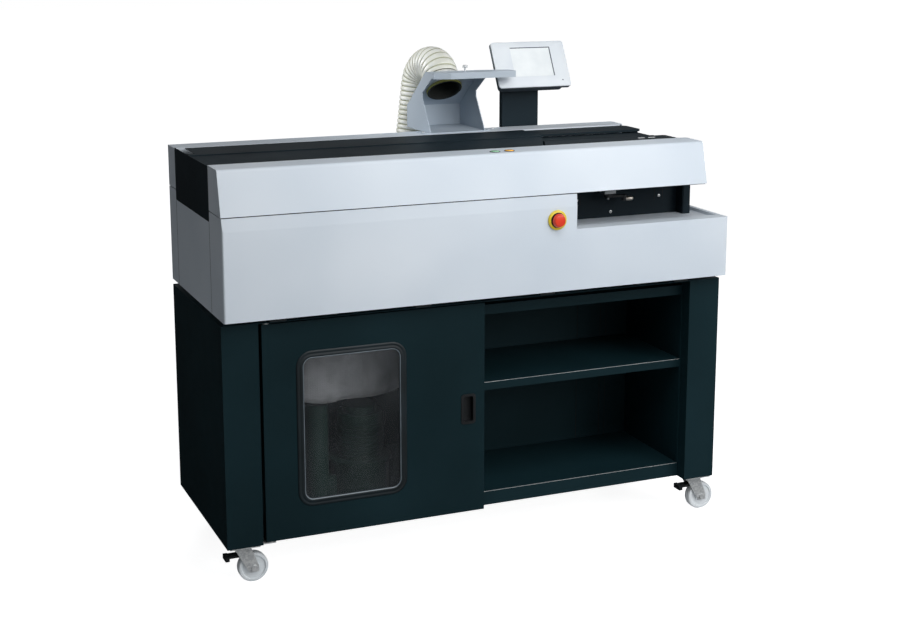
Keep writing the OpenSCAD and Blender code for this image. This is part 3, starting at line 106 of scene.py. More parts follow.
def ranged(tree, shader, factor, low, high, socket="Roughness"):
    """Maps a pattern to a range of values and into the shader."""
    spread = add(tree, "ShaderNodeMapRange", {"Value": factor, "To Min": low, "To Max": high})
    tree.links.new(spread.outputs["Result"], shader.inputs[socket])


def bumped(tree, shader, height, strength, depth_mm):
    """Stands a pattern up from the surface by a depth in millimetres."""
    bump = add(tree, "ShaderNodeBump",
               {"Height": height, "Strength": strength, "Distance": depth_mm / 1000})
    tree.links.new(bump.outputs["Normal"], shader.inputs["Normal"])


def place(tree):
    """Position on the object in metres, the same on every piece."""
    return add(tree, "ShaderNodeTexCoord").outputs["Object"]


def grain(tree, size_mm, detail=3.0, stretch=None):
    """Soft noise whose blotches measure size_mm, drawn out along an axis if asked."""
    where = place(tree)
    if stretch:
        drawn_out = add(tree, "ShaderNodeMapping", {"Vector": where, "Scale": stretch})
        where = drawn_out.outputs["Vector"]
    noise = add(tree, "ShaderNodeTexNoise",
                {"Vector": where, "Scale": 1000 / size_mm, "Detail": detail, "Roughness": 0.55})
    return noise.outputs["Fac"]


def powder_coat(name, dark, light, rough, peel=0.12, gloss=0.4):
    """Powder coat on steel sheet: satin, with a faint orange peel and slow drifts of tone.

    The real peel is about 2 mm across; it is drawn at 7 mm so that it shows."""
    material, tree, shader = surface(name, IOR=1.5, Specular_IOR_Level=gloss)
    tinted(tree, shader, grain(tree, 420, 2), linear(dark), linear(light))
    ranged(tree, shader, grain(tree, 90), rough - 0.05, rough + 0.07)
    bumped(tree, shader, grain(tree, 7, 1), peel, 0.35)
    return material


def enamel(name, code, rough, coat=0.3):
    """Brushed or dipped enamel: glossy and slightly wavy."""
    material, tree, shader = surface(name, IOR=1.5, Coat_Weight=coat, Coat_Roughness=0.15)
    base = linear(code)
    tinted(tree, shader, grain(tree, 60), [c * 0.82 for c in base[:3]] + [1], base)
    ranged(tree, shader, grain(tree, 30), rough - 0.05, rough + 0.08)
    bumped(tree, shader, grain(tree, 60, 1), 0.08, 0.4)
    return material


def zinc_plate(name, dark, light):
    """Dull zinc plating: a pale, cool metal with faint crystals, 4 mm across."""
    material, tree, shader = surface(name, Metallic=0.55)
    spangle = add(tree, "ShaderNodeTexVoronoi", {"Vector": place(tree), "Scale": 250.0})
    grey = add(tree, "ShaderNodeSeparateColor", {"Color": spangle.outputs["Color"]})
    tinted(tree, shader, grey.outputs["Red"], linear(dark), linear(light), ends=(0.1, 0.9))
    ranged(tree, shader, grain(tree, 12), 0.36, 0.5)
    bumped(tree, shader, grain(tree, 4), 0.08, 0.2)
    return material


def machined_steel(name, dark, light, rough):
    """Ground and milled steel: long fine tool lines along the machine."""
    material, tree, shader = surface(name, Metallic=1.0)
    lines = grain(tree, 9, 4, stretch=(0.03, 1.0, 1.0))
    tinted(tree, shader, lines, linear(dark), linear(light), ends=(0.3, 0.7))
    ranged(tree, shader, grain(tree, 25), rough - 0.06, rough + 0.1)
    bumped(tree, shader, lines, 0.1, 0.15)
    return material


def moulded(name, dark, light, rough, grain_mm=5.0, height=0.15, ior=1.46, coat=0.0):
    """Moulded plastic: an even colour with a fine spark-eroded grain.

    The grain is really below 0.5 mm; it is drawn several times as coarse so that it shows."""
    material, tree, shader = surface(name, IOR=ior, Coat_Weight=coat, Coat_Roughness=0.1)
    tinted(tree, shader, grain(tree, 120, 2), linear(dark), linear(light))
    ranged(tree, shader, grain(tree, 18), rough - 0.04, rough + 0.06)
    bumped(tree, shader, grain(tree, grain_mm, 2), height, 0.2)
    return material


def rubber(name):
    """Extruded black rubber: dull, with a bloom of grey along it."""
    material, tree, shader = surface(name, IOR=1.52)
    tinted(tree, shader, grain(tree, 45), linear("#0F1518"), linear("#1C2428"))
    ranged(tree, shader, grain(tree, 16), 0.42, 0.6)
    bumped(tree, shader, grain(tree, 3), 0.25, 0.25)
    return material


def hose_plastic(name):
    """Blow-moulded polyethylene duct: off-white and a little waxy, darker in patches."""
    material, tree, shader = surface(name, IOR=1.51, Subsurface_Weight=0.12,
                                     Subsurface_Scale=0.004)
    shader.inputs["Subsurface Radius"].default_value = (1.0, 0.9, 0.7)
    tinted(tree, shader, grain(tree, 70), linear("#D9DBD0"), linear("#F0F1EC"))
    ranged(tree, shader, grain(tree, 25), 0.36, 0.52)
    bumped(tree, shader, grain(tree, 5, 1), 0.12, 0.3)
    return material


def acrylic(name):
    """Clear acrylic sheet, smoke-grey with dust on its inner face."""
    material, tree, shader = surface(name, IOR=1.49, Alpha=0.07, Roughness=0.04)
    tinted(tree, shader, grain(tree, 150), linear("#5E6367"), linear("#7C8287"))
    material.surface_render_method = "BLENDED"
    return material


def filter_cloth(name):
    """Needled filter cloth: pale grey felt with crossing threads.

    The threads are really 0.6 mm apart; they are drawn at 3 mm so that they show."""
    material, tree, shader = surface(name, Roughness=0.9, IOR=1.4, Sheen_Weight=0.35,
                                     Sheen_Roughness=0.5)
    where = place(tree)
    across = add(tree, "ShaderNodeTexWave", {"Vector": where, "Scale": 52.0, "Distortion": 0.6},
                 bands_direction="X")
    upright = add(tree, "ShaderNodeTexWave", {"Vector": where, "Scale": 52.0, "Distortion": 0.6},
                  bands_direction="Z")
    weave = add(tree, "ShaderNodeMath", {0: across.outputs["Fac"], 1: upright.outputs["Fac"]},
                operation="MULTIPLY")
    tinted(tree, shader, grain(tree, 55), linear("#77797C"), linear("#8E9093"))
    bumped(tree, shader, weave.outputs["Value"], 0.35, 0.5)
    return material


def lit_screen(name):
    """The display's pane: a lit pale page behind glass."""
    material, tree, shader = surface(name, IOR=1.5, Roughness=0.12, Emission_Strength=0.1)
    shader.inputs["Emission Color"].default_value = linear("#F0F4F6")
    tinted(tree, shader, grain(tree, 60), linear("#DFE5E8"), linear("#E9EEF0"))
    return material


GREY = powder_coat("powder_coat_pale_grey", "#C6D0DA", "#D4DCE4", 0.46, 0.1, 0.22)
HOOD = powder_coat("powder_coat_hood_grey", "#A9B5C1", "#BAC5CF", 0.46, 0.1, 0.25)
NAVY = powder_coat("powder_coat_night_blue", "#0F2328", "#152B31", 0.44, 0.14, 0.1)
BLACK = powder_coat("powder_coat_textured_black", "#121C22", "#1B272E", 0.5, 0.25, 0.09)
ZINC = zinc_plate("bright_zinc_plate", "#C9CCCE", "#E6E8E8")
STEEL = machined_steel("ground_steel", "#83898E", "#B8BDC1", 0.3)
RUBBER = rubber("extruded_black_rubber")
SEAL = moulded("soft_black_window_seal", "#0A1519", "#122026", 0.5)
# A lock strip in the window seal; its pale grey is partly painted highlight, the glossy line along
# the seal's inner edge.
SEAL_STRIP_HIGHLIGHT = moulded("grey_lock_strip_painted_highlight", "#6F7A82", "#87929A", 0.3)
CLOTH = filter_cloth("needled_filter_cloth")
GREEN_ENAMEL = enamel("dark_green_motor_enamel", "#123029", 0.35)
DUCT = hose_plastic("off_white_duct_plastic")
PANE = acrylic("smoked_acrylic_pane")
DISPLAY = moulded("pale_grey_display_abs", "#DAE1E8", "#E5EBF0", 0.42)
DISPLAY_SIDE = moulded("charcoal_display_abs", "#333C44", "#444E57", 0.5)
SCREEN = lit_screen("lit_display_glass")
YELLOW = moulded("yellow_safety_plastic", "#DCC32C", "#F0D53E", 0.32, coat=0.2)
RED = moulded("red_safety_plastic", "#D8371F", "#E8502F", 0.3, coat=0.3)
GREEN = moulded("green_lamp_cap", "#86C79C", "#A9DCB9", 0.25, coat=0.4)
ORANGE = moulded("orange_lamp_cap", "#EBA52E", "#F7BE4C", 0.25, coat=0.4)
NYLON = moulded("white_cast_nylon", "#DCE2E6", "#ECF0F3", 0.42, 9.0)
BLACK_PLASTIC = moulded("black_glass_filled_nylon", "#0F1316", "#1A1F22", 0.46)
# The olive grey in the hose's pleat valleys is painted shade in the creases.
DUCT_VALLEY_SHADE = moulded("olive_grey_painted_valley_shade", "#9FA289", "#B4B69F", 0.6)
TAN_RUBBER = moulded("olive_hose_cuff", "#A3A258", "#C2BF6C", 0.6)
# The duct's bore is really off-white like its outside; this near black is painted shade.
DUCT_BORE_SHADE = moulded("unlit_duct_bore", "#1B1D1C", "#262927", 0.7)
SCREEN_EDGE = moulded("slate_screen_edge", "#4C5160", "#5C6270", 0.5)
BRONZE = machined_steel("warm_cast_lever_alloy", "#A39C92", "#D2CCC2", 0.34)
# Black set in gaps, recesses and cuts where only shade falls: painted shade.
GAP_SHADE = moulded("shadow_gap_black", "#0B0E10", "#14181B", 0.85)

SLOTS = {
    "grey_paint": GREY, "base_paint": NAVY, "black_paint": BLACK, "hood_paint": HOOD,
    "zinc_plate": ZINC, "machined_steel": STEEL, "black_rubber": RUBBER, "window_sheet": PANE,
    "bag_cloth": CLOTH, "collector_paint": GREEN_ENAMEL, "hose_plastic": DUCT,
    "display_plastic": DISPLAY, "stop_yellow": YELLOW, "stop_red": RED, "lamp_green": GREEN,
    "lamp_orange": ORANGE, "wheel_nylon": NYLON, "black_plastic": BLACK_PLASTIC,
}
for part in record["subparts"]:
    held = nodes[part["node"]]
    held.data.materials.clear()
    held.data.materials.append(SLOTS[part["material_slot"]])


# ------------------------------------------------------------------ mesh tools

def finish_piece(name, mesh_builder, body, material, replaces=(), bevel=0.0, smooth=45,
                 more=()):
    """Makes an object from a mesh, rounds its edges, and hangs it on its body."""
    mesh = bpy.data.meshes.new(name)
    bmesh.ops.remove_doubles(mesh_builder, verts=mesh_builder.verts, dist=1e-6)
    bmesh.ops.recalc_face_normals(mesh_builder, faces=mesh_builder.faces)
    mesh_builder.to_mesh(mesh)
    mesh_builder.free()
    for used in (material, *more):
        mesh.materials.append(used)
    piece = bpy.data.objects.new(name, mesh)
    bpy.context.scene.collection.objects.link(piece)
    if bevel:
        rounding = piece.modifiers.new("rounded_edges", "BEVEL")
        rounding.width = bevel / 1000
        rounding.segments = 3
        rounding.limit_method = "ANGLE"
        rounding.angle_limit = math.radians(40)
    for face in mesh.polygons:
        face.use_smooth = True
    mesh.set_sharp_from_angle(angle=math.radians(smooth))
    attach(piece, body)
    if replaces:
        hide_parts(*replaces)
    return piece


def slab(bm, x, y, z, index=0):
    """A block between two widths, two depths and two heights in machine millimetres."""
    corners = [bm.verts.new(at(a, b, c)) for c in z for b in y for a in x]
    for quad in ((0, 1, 3, 2), (4, 6, 7, 5), (0, 4, 5, 1), (2, 3, 7, 6), (0, 2, 6, 4),
                 (1, 5, 7, 3)):
        bm.faces.new([corners[i] for i in quad]).material_index = index


def basis(direction):
    """Two directions square to one, for rings round it."""
    d = Vector(direction).normalized()
    side = d.cross(Vector((0, 0, 1)) if abs(d.z) < 0.9 else Vector((1, 0, 0))).normalized()
    return d, side, d.cross(side)


def lathe(bm, centre, axis, outline, sides=40, index=0, closed=True):
    """Turns an outline of (distance along the axis, radius) in millimetres round the axis."""
    d, u, v = basis(axis)
    origin = at(*centre)
    rings = []
    for along, radius in outline:
        middle = origin + d * (along / 1000)
        if radius == 0:
            rings.append([bm.verts.new(middle)])
            continue
        rings.append([bm.verts.new(middle + (u * math.cos(a) + v * math.sin(a)) * radius / 1000)
                      for a in (2 * math.pi * k / sides for k in range(sides))])
    last = len(rings) if closed else len(rings) - 1
    for i in range(last):
        a, b = rings[i], rings[(i + 1) % len(rings)]
        if len(a) == 1 and len(b) == 1:
            continue
        for k in range(sides):
            n = (k + 1) % sides
            loop = [a[k % len(a)], a[n % len(a)], b[n % len(b)], b[k % len(b)]]
            corners = list(dict.fromkeys(loop))
            bm.faces.new(corners).material_index = index


def plate(bm, outline, depth, index=0):
    """Extrudes a flat outline of machine points by a vector in millimetres."""
    shift = Vector(depth) / 1000
    front = [bm.verts.new(at(*p)) for p in outline]
    back = [bm.verts.new(v.co + shift) for v in front]
    bm.faces.new(front).material_index = index
    bm.faces.new(back[::-1]).material_index = index
    for i in range(len(front)):
        j = (i + 1) % len(front)
        bm.faces.new([front[i], back[i], back[j], front[j]]).material_index = index


def rounded(cx, cz, w, h, r, steps=8):
    """A rounded rectangle's outline, anticlockwise, as (x, z) pairs."""
    points = []
    for sx, sz, start in ((1, 1, 0), (-1, 1, 90), (-1, -1, 180), (1, -1, 270)):
        for k in range(steps + 1):
            a = math.radians(start + 90 * k / steps)
            points.append((cx + sx * (w / 2 - r) + r * math.cos(a),
                           cz + sz * (h / 2 - r) + r * math.sin(a)))
    return points


def swept(bm, path, section, index=0):
    """Sweeps a closed section of (outward, depth) round a closed outline of (x, z) pairs."""
    count = len(path)
    rings = []
    for i, (x, z) in enumerate(path):
        px, pz = path[i - 1]
        nx, nz = path[(i + 1) % count]
        tangent = Vector((nx - px, nz - pz)).normalized()
        out = Vector((tangent.y, -tangent.x))
        rings.append([bm.verts.new(at(x + out.x * o, y, z + out.y * o)) for o, y in section])
    for i in range(count):
        a, b = rings[i], rings[(i + 1) % count]
        for k in range(len(section)):
            n = (k + 1) % len(section)
            bm.faces.new([a[k], a[n], b[n], b[k]]).material_index = index


def fresh():
    return bmesh.new()


# ------------------------------------------------------------------ exhaust hose

HOSE_R, HOSE_BORE = 50.0, 44.8
HOSE_BEND = 62.0
HOSE_PLEAT = 13.3
HOSE_TOP = 1196
DUCT_X, DUCT_Y = 105.5, 564
RUN_Y = 698
ENTRY_X, ENTRY_Y, ENTRY_Z = -10, 524, 330
HOOD_TOP, PLATE_TO_DUCT = 1181, 66
slope = math.atan2(104, 138)
duct_mouth = Vector((DUCT_X, DUCT_Y, HOOD_TOP - PLATE_TO_DUCT * math.tan(slope)))
duct_way = Vector((0, math.sin(slope), math.cos(slope)))
hose_start = duct_mouth - duct_way * 4
HOSE_CORNERS = [hose_start,
                Vector((DUCT_X, RUN_Y, hose_start.z + (RUN_Y - hose_start.y) / math.tan(slope))),
                Vector((ENTRY_X, RUN_Y, ENTRY_Z)), Vector((ENTRY_X, ENTRY_Y, ENTRY_Z))]


def hose_line(step):
    """Points and directions along the hose's rounded route, one every step."""
    line = []
    legs = [(b - a).normalized() for a, b in zip(HOSE_CORNERS, HOSE_CORNERS[1:])]
    cursor = HOSE_CORNERS[0]
    for i, leg in enumerate(legs):
        target = HOSE_CORNERS[i + 1]
        if i < 2:
            angle = leg.angle(legs[i + 1])
            cut = HOSE_BEND * math.tan(angle / 2)
            target = target - leg * cut
        length = (target - cursor).length
        line += [(cursor + leg * s, leg) for s in steps_to(length, step)]
        if i < 2:
            axis = leg.cross(legs[i + 1]).normalized()
            arm = axis.cross(leg) * HOSE_BEND
            for s in steps_to(angle * HOSE_BEND, step):
                turn = Matrix.Rotation(s / HOSE_BEND, 3, axis)
                line.append((target + arm - turn @ arm, turn @ leg))
            turn = Matrix.Rotation(angle, 3, axis)
            cursor = target + arm - turn @ arm
    line.append((HOSE_CORNERS[-1], legs[-1]))
    return line


def steps_to(length, step):
    count = max(1, round(length / step))
    return [length * k / count for k in range(count)]


def exhaust_hose():
    """Broad round pleats 13 mm apart with narrow folded valleys, open at both ends. The valleys'
    olive grey and the bore's near black are painted shade.
    """
    samples, sides = 10, 56
    turns = [2 * math.pi * j / sides for j in range(sides)]
    line = hose_line(HOSE_PLEAT / samples)
    bm = fresh()
    side = Vector((1, 0, 0))
    rings, folds, inner = [], [], []
    for k, (point, way) in enumerate(line):
        side = (side - way * side.dot(way)).normalized()
        other = way.cross(side)
        phase = (k % samples) / samples
        dip = max(0.0, 1 - abs(phase - 0.5) / 0.26)
        bent = 1 - min(1.0, abs(point.z - HOSE_TOP) / 70)
        spokes = [side * math.cos(a) + other * math.sin(a) for a in turns]
        ring = []
        for spoke in spokes:
            outer_side = max(0.0, spoke.z) * bent
            radius = HOSE_R - 3.4 * dip ** 1.3 * (1 - 0.75 * outer_side) - 0.3 * phase
            ring.append(bm.verts.new(at(*(point + spoke * radius))))
        rings.append(ring)
        # Rings deep in a valley are marked to take the olive grey: painted shade.
        folds.append(dip > 0.55)
        if k % 12 == 0 or k == len(line) - 1:
            inner.append([bm.verts.new(at(*(point + spoke * HOSE_BORE))) for spoke in spokes])
    loop = rings + inner[::-1]
    for i in range(len(loop)):
        a, b = loop[i], loop[(i + 1) % len(loop)]
        # Index 2, the bore, takes near black painted shade; index 1, the valleys, takes olive grey
        # painted shade.
        if i >= len(rings) - 1:
            tone = 2
        else:
            tone = 1 if folds[i] and folds[i + 1] else 0
        for j in range(sides):
            n = (j + 1) % sides
            bm.faces.new([a[j], a[n], b[n], b[j]]).material_index = tone
    return finish_piece("ribbed_hose", bm, "machine", DUCT, ("exhaust_hose",),
                        smooth=60, more=(DUCT_VALLEY_SHADE, DUCT_BORE_SHADE))


exhaust_hose()

bm = fresh()
lathe(bm, duct_mouth, duct_way, [(-11, 48.6), (-10.4, 49.4), (2, 49.4), (2, 48.6)], 56)
# The cuff's bore takes the near black painted shade.
lathe(bm, duct_mouth, duct_way, [(-10.8, 43.6), (-11.2, 48.7), (30, 48.7), (30, 43.6)], 56, 1)
finish_piece("hose_cuff", bm, "machine", TAN_RUBBER, more=(DUCT_BORE_SHADE,))


# ------------------------------------------------------------------ dust bag

def dust_bag():
    """A hanging sack: loose folds down its sides, gathered on the outlet and at its hook."""
    low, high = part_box("dust_bag")
    centre = (low + high) / 2
    half = (high - low) / 2
    bm = fresh()
    around, up = 120, 44
    rings = []
    for j in range(up + 1):
        t = j / up
        crown = 1 - max(0, (t - 0.86) / 0.14) ** 2.2
        hem = 1 - max(0, (0.16 - t) / 0.16) ** 2
        size = 0.16 + 0.84 * min(max(crown, 0) ** 0.5, max(hem, 0) ** 0.5)
        ring = []
        for k in range(around):
            a = 2 * math.pi * k / around
            c, s = math.cos(a), math.sin(a)
            square = (abs(c) ** 3.2 + abs(s) ** 3.2) ** (-1 / 3.2)
            fold = (0.035 * math.sin(9 * a + 1.5 * math.sin(3 * t)) +
                    0.02 * math.sin(17 * a + 4 * t) + 0.012 * math.sin(31 * a - 3 * t))
            r = square * size * (0.955 + fold * (0.35 + 0.6 * (1 - t)))
            droop = 0.02 * math.sin(5 * a + 2) * (1 - t)
            ring.append(bm.verts.new(Vector((
                centre.x + half.x * r * c, centre.y + half.y * r * s,
                low.z + (high.z - low.z) * min(1, max(0, t * 0.965 + 0.018 + droop * 0.5))))))
        rings.append(ring)
    for j in range(up):
        for k in range(around):
            n = (k + 1) % around
            bm.faces.new([rings[j][k], rings[j][n], rings[j + 1][n], rings[j + 1][k]])
    for ring, flip in ((rings[0], True), (rings[-1], False)):
        bm.faces.new(ring[::-1] if flip else ring)
    return finish_piece("dust_sack", bm, "machine", CLOTH, ("dust_bag",), smooth=80)


dust_bag()


# ------------------------------------------------------------------ cabinet door

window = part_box("window_pane")
window_x = (window[0].x + window[1].x) / 2 * 1000 - MIDDLE * 1000
window_z = (window[0].z + window[1].z) / 2 * 1000
FACE = 33.0

window_edge = rounded(window_x, window_z, 244, 352, 20)
bm = fresh()
swept(bm, window_edge,
      [(0, FACE - 0.6), (2.5, FACE - 2.4), (6, FACE - 3), (9, FACE - 2.2), (11, FACE - 1.4),
       (13, FACE - 2.0), (16.5, FACE - 2.4), (18.6, FACE - 1.2), (19, FACE), (9.5, FACE),
       (9.5, FACE + 2), (15, FACE + 2), (15, FACE + 5), (0, FACE + 5)])
# The lock strip's grey line is partly painted highlight along the window's inner edge.
swept(bm, window_edge,
      [(0.4, FACE - 0.6), (1.0, FACE - 2.2), (2.2, FACE - 3.0), (3.0, FACE - 2.2)], 1)
finish_piece("window_seal", bm, "door", SEAL, ("window_gasket",), smooth=50,
             more=(SEAL_STRIP_HIGHLIGHT,))


# ------------------------------------------------------------------ controls

STOP_AT = (176, 0, 849)

bm = fresh()
lathe(bm, STOP_AT, (0, -1, 0), [(0, 11.2), (0, 25), (3.5, 25), (5.2, 24.2), (6, 22.4), (6, 11.2)],
      64)
lathe(bm, STOP_AT, (0, 1, 0), [(0, 11.2), (0, 13.9), (22, 13.9), (22, 11.2)], 48)
# The black ring showing round the head is the button's black base, and partly painted shade cast
# by the head.
lathe(bm, STOP_AT, (0, -1, 0), [(5.8, 11.2), (5.8, 19.5), (6.5, 19.1), (6.5, 11.2)], 64, 1)
finish_piece("stop_collar", bm, "machine", YELLOW, ("estop_collar",),
             more=(BLACK_PLASTIC,))

bm = fresh()
lathe(bm, STOP_AT, (0, -1, 0),
      [(-16, 0), (-16, 11), (10.6, 11), (10.8, 16.8), (11.4, 17.6), (13, 17.2), (18.6, 14.6),
       (19.6, 13.8), (20, 12.4), (20, 0)], 64, closed=False)
finish_piece("stop_mushroom", bm, "estop", RED, ("estop_head",))

for label, x, body, slot, material, node in (
        ("start", 32, "start", "lamp_green", GREEN, "start_button"),
        ("stop", 71, "stop", "lamp_orange", ORANGE, "stop_button")):
    bm = fresh()
    lathe(bm, (x, 58, 1006), (0, 0, 1),
          [(0, 0), (0, 11), (6, 11), (6, 13), (11.7, 13), (11.7, 11), (15.6, 11), (16.6, 10.2),
           (17, 8.6), (16.7, 0)], 48, closed=False)
    finish_piece(label + "_cap", bm, body, material, (node,))
    bm = fresh()
    lathe(bm, (x, 58, 1020), (0, 0, 1),
          [(0, 11.4), (0, 13.4), (0.9, 13.2), (1.2, 12.6), (1.2, 11.8), (0.8, 11.4)], 48)
    finish_piece(label + "_bezel", bm, "machine", BLACK_PLASTIC)


# ------------------------------------------------------------------ display

TILT = math.radians(28)
SCREEN_C = Vector((343, 500, 1192))


def on_display(x, depth, up):
    """A point by its place on the display's face: across, behind the face and up it."""
    return SCREEN_C + Vector((x, depth * math.cos(TILT) + up * math.sin(TILT),
                              up * math.cos(TILT) - depth * math.sin(TILT)))


def display_plate(bm, x, up, depth, index=0):
    corners = [on_display(a, depth[0], b) for a, b in
               ((x[0], up[0]), (x[1], up[0]), (x[1], up[1]), (x[0], up[1]))]
    plate(bm, corners, on_display(0, depth[1], 0) - on_display(0, depth[0], 0), index)


def housing():
    """Front bezel with rounded edges, charcoal sides, stepped rear box, neck and barrel."""
    bm = fresh()
    levels = [(222, 137, 7, 0, 2.2, 0), (222, 137, 7.5, 1.2, 0.6, 0), (222, 137, 8, 3.2, 0, 0),
              (222, 137, 8, 5.4, 0, 1), (222, 137, 8, 14.4, 0, 1), (222, 137, 8, 16, 1.6, 1),
              (196, 123, 10, 16, 0, 1), (196, 123, 10, 41, 0, 1), (196, 123, 10, 44, 3, 1)]
    rings = []
    for w, h, radius, depth, inset, _ in levels:
        centre = -2 if w < 200 else 0
        outline = rounded(0, centre, w - 2 * inset, h - 2 * inset, radius, 6)
        rings.append([bm.verts.new(at(*on_display(x, depth, up))) for x, up in outline])
    for i in range(len(rings) - 1):
        for k in range(len(rings[i])):
            n = (k + 1) % len(rings[i])
            bm.faces.new([rings[i][k], rings[i][n], rings[i + 1][n],
                          rings[i + 1][k]]).material_index = levels[i + 1][5]
    bm.faces.new(rings[-1]).material_index = 1
    # The wall down from the bezel face to the screen's floor takes the black gap material: painted
    # shade in the recess.
    frame_ring = [bm.verts.new(at(*on_display(x, 0, up)))
                  for x, up in rounded(3, 6, 120, 85, 2, 6)]
    floor_ring = [bm.verts.new(at(*on_display(x, 2, up)))
                  for x, up in rounded(3, 6, 120, 85, 2, 6)]
    count = len(frame_ring)
    for k in range(count):
        n = (k + 1) % count
        bm.faces.new([rings[0][k], rings[0][n], frame_ring[n], frame_ring[k]])
        bm.faces.new([frame_ring[k], frame_ring[n], floor_ring[n],
                      floor_ring[k]]).material_index = 2
    bm.faces.new(floor_ring)
    corners = [on_display(x, 40, up) for x, up in ((-45.7, -32), (5.7, -32), (5.7, -10),
                                                   (-45.7, -10))]
    plate(bm, corners, on_display(0, 63, 0) - on_display(0, 40, 0), 1)
    lathe(bm, (297.3, 546, 1144), (1, 0, 0), [(0, 6.05), (0, 11), (51.4, 11), (51.4, 6.05)], 32, 1)
    finish_piece("display_case", bm, "display", DISPLAY, ("display_housing",),
                 smooth=35, more=(DISPLAY_SIDE, GAP_SHADE))


housing()

bm = fresh()
display_plate(bm, (-56.6, 62.6), (-36, 48), (0.9, 2))
finish_piece("display_pane", bm, "display", SCREEN)

bm = fresh()
display_plate(bm, (84, 88), (-52, -49), (-0.3, 0.4))
display_plate(bm, (62.6, 65), (-36.5, 50.2), (-0.25, 0.3))
display_plate(bm, (-57, 65), (48.3, 50.2), (-0.25, 0.3))
finish_piece("screen_edge_and_lamp", bm, "display", SCREEN_EDGE)


# ------------------------------------------------------------------ fasteners

def pan_head(bm, centre, axis, height, radius=4):
    """A domed screw head with a cross on it, a thin dark plate: painted shade standing for the
    cut.
    """
    lathe(bm, centre, axis, [(0, 0), (0, radius), (height * 0.45, radius),
                             (height * 0.8, radius * 0.86), (height, radius * 0.55),
                             (height, 0)], 24, closed=False)
    d, u, v = basis(axis)
    for along, across in ((u, v), (v, u)):
        half = [along * radius * 0.5, across * radius * 0.12]
        base = Vector(centre) + d * (height + 0.05)
        corners = [base + half[0] + half[1], base - half[0] + half[1],
                   base - half[0] - half[1], base + half[0] - half[1]]
        # Index 1 is the black gap material: painted shade of the cross cut.
        plate(bm, corners, d * 0.12, 1)


def fasteners():
    """Screws where the CAD has them, and the thumb screw on the hood's top."""
    bm = fresh()
    for x in (13, 193):
        pan_head(bm, (x, 484, 1019), (0, 0, 1), 2.2)
    for x, z in ((310, 864), (556, 862), (411, 828)):
        pan_head(bm, (x, 155, z), (0, -1, 0), 2)
    pan_head(bm, (228, 506, 1017), (0, 0, 1), 2.6)
    lathe(bm, (135, 484, 1181), (0, 0, 1), [(0, 0), (0, 2.5), (9, 2.5), (9, 7), (10, 7.2),
                                            (15, 7.2), (16, 6.4), (16, 0)], 20, closed=False)
    finish_piece("fasteners", bm, "machine", ZINC, ("screws",), more=(GAP_SHADE,),
                 smooth=30)


fasteners()


# ------------------------------------------------------------------ release lever

def release_lever():
    """A black arm from its boss to an upright stud, with a bare alloy grip on its end."""
    bm = fresh()
    lathe(bm, (382, 118, 874), (0, 0, 1), [(0, 4.05), (0, 11), (10.7, 11), (10.7, 4.05)], 32)
    turn = Matrix.Rotation(math.radians(-12), 3, "Z")
    corners = [Vector((382, 118, 874)) + turn @ Vector(p)
               for p in ((5, -6, 0), (44, -6, 0), (44, 6, 0), (5, 6, 0))]
    plate(bm, corners, Vector((0, 0, 6)))
    tip = Vector((382, 118, 874)) + turn @ Vector((44, 0, -10))
    lathe(bm, tip, (0, 0, 1), [(0, 0), (0, 6), (1, 7), (15, 7), (16, 6), (16, 0)], 28,
          closed=False)
    way = turn @ Vector((1, 0, 0))
    lathe(bm, tip + Vector((0, 0, 6)) - way * 6, way,
          [(0, 0), (0.6, 3), (2.4, 5), (5, 6), (26, 6), (29, 4.8), (30.6, 2.6), (31, 0)], 28, 1,
          closed=False)
    finish_piece("lever_arm", bm, "lever", BLACK_PLASTIC, ("release_lever",),
                 more=(BRONZE,), bevel=0.6)


release_lever()


# ------------------------------------------------------------------ seams painted dark as shade, and small trim

def seams():
    """Painted shade: dark strips set in the gaps where sheets meet, under the cover, at the
    corners and in the recess.
    """
    bm = fresh()
    slab(bm, (-674, 230), (4.1, 4.5), (911.1, 913.3))
    for y in (113, 450):
        slab(bm, (-675.2, -674.4), (y - 0.8, y + 0.8), (667, 885))
    slab(bm, (-675.2, -674.4), (449.2, 450.8), (887, 1013))
    slab(bm, (-675.2, -674.4), (112.2, 113.8), (887, 1010))
    for x in (320.5, 543, 567):
        slab(bm, (x - 1, x + 1), (154.7, 155.4), (850, 880))
    for x in (427, 500, 518):
        slab(bm, (x - 0.8, x + 0.8), (362.7, 363.2), (432, 626))
        slab(bm, (x - 0.8, x + 0.8), (362.7, 363.2), (139, 408))
    finish_piece("painted_seam_shade", bm, "machine", GAP_SHADE)


seams()

# Pale zinc strips along the shelves' front top edges: painted highlight, the bright line of the
# folded edges.
bm = fresh()
slab(bm, (0, 583), (69.7, 70.6), (429.3, 430.2))
slab(bm, (-1, 583), (69.7, 70.6), (137.2, 138.2))
finish_piece("shelf_edge_highlight_strips", bm, "machine", ZINC)

bm = fresh()
for x in (517, 549):
    slab(bm, (x - 9, x + 9), (184, 191), (1013.8, 1014.8))
finish_piece("table_stops", bm, "machine", ZINC, bevel=0.3)

bm = fresh()
for k in range(9):
    lathe(bm, (-278, 205, 246 + 10 * k), (0, 0, 1),
          [(0, 56), (0, 60.5), (2.6, 60.5), (2.6, 56)], 48)
finish_piece("motor_fins", bm, "machine", GREEN_ENAMEL)


# ------------------------------------------------------------------ casters

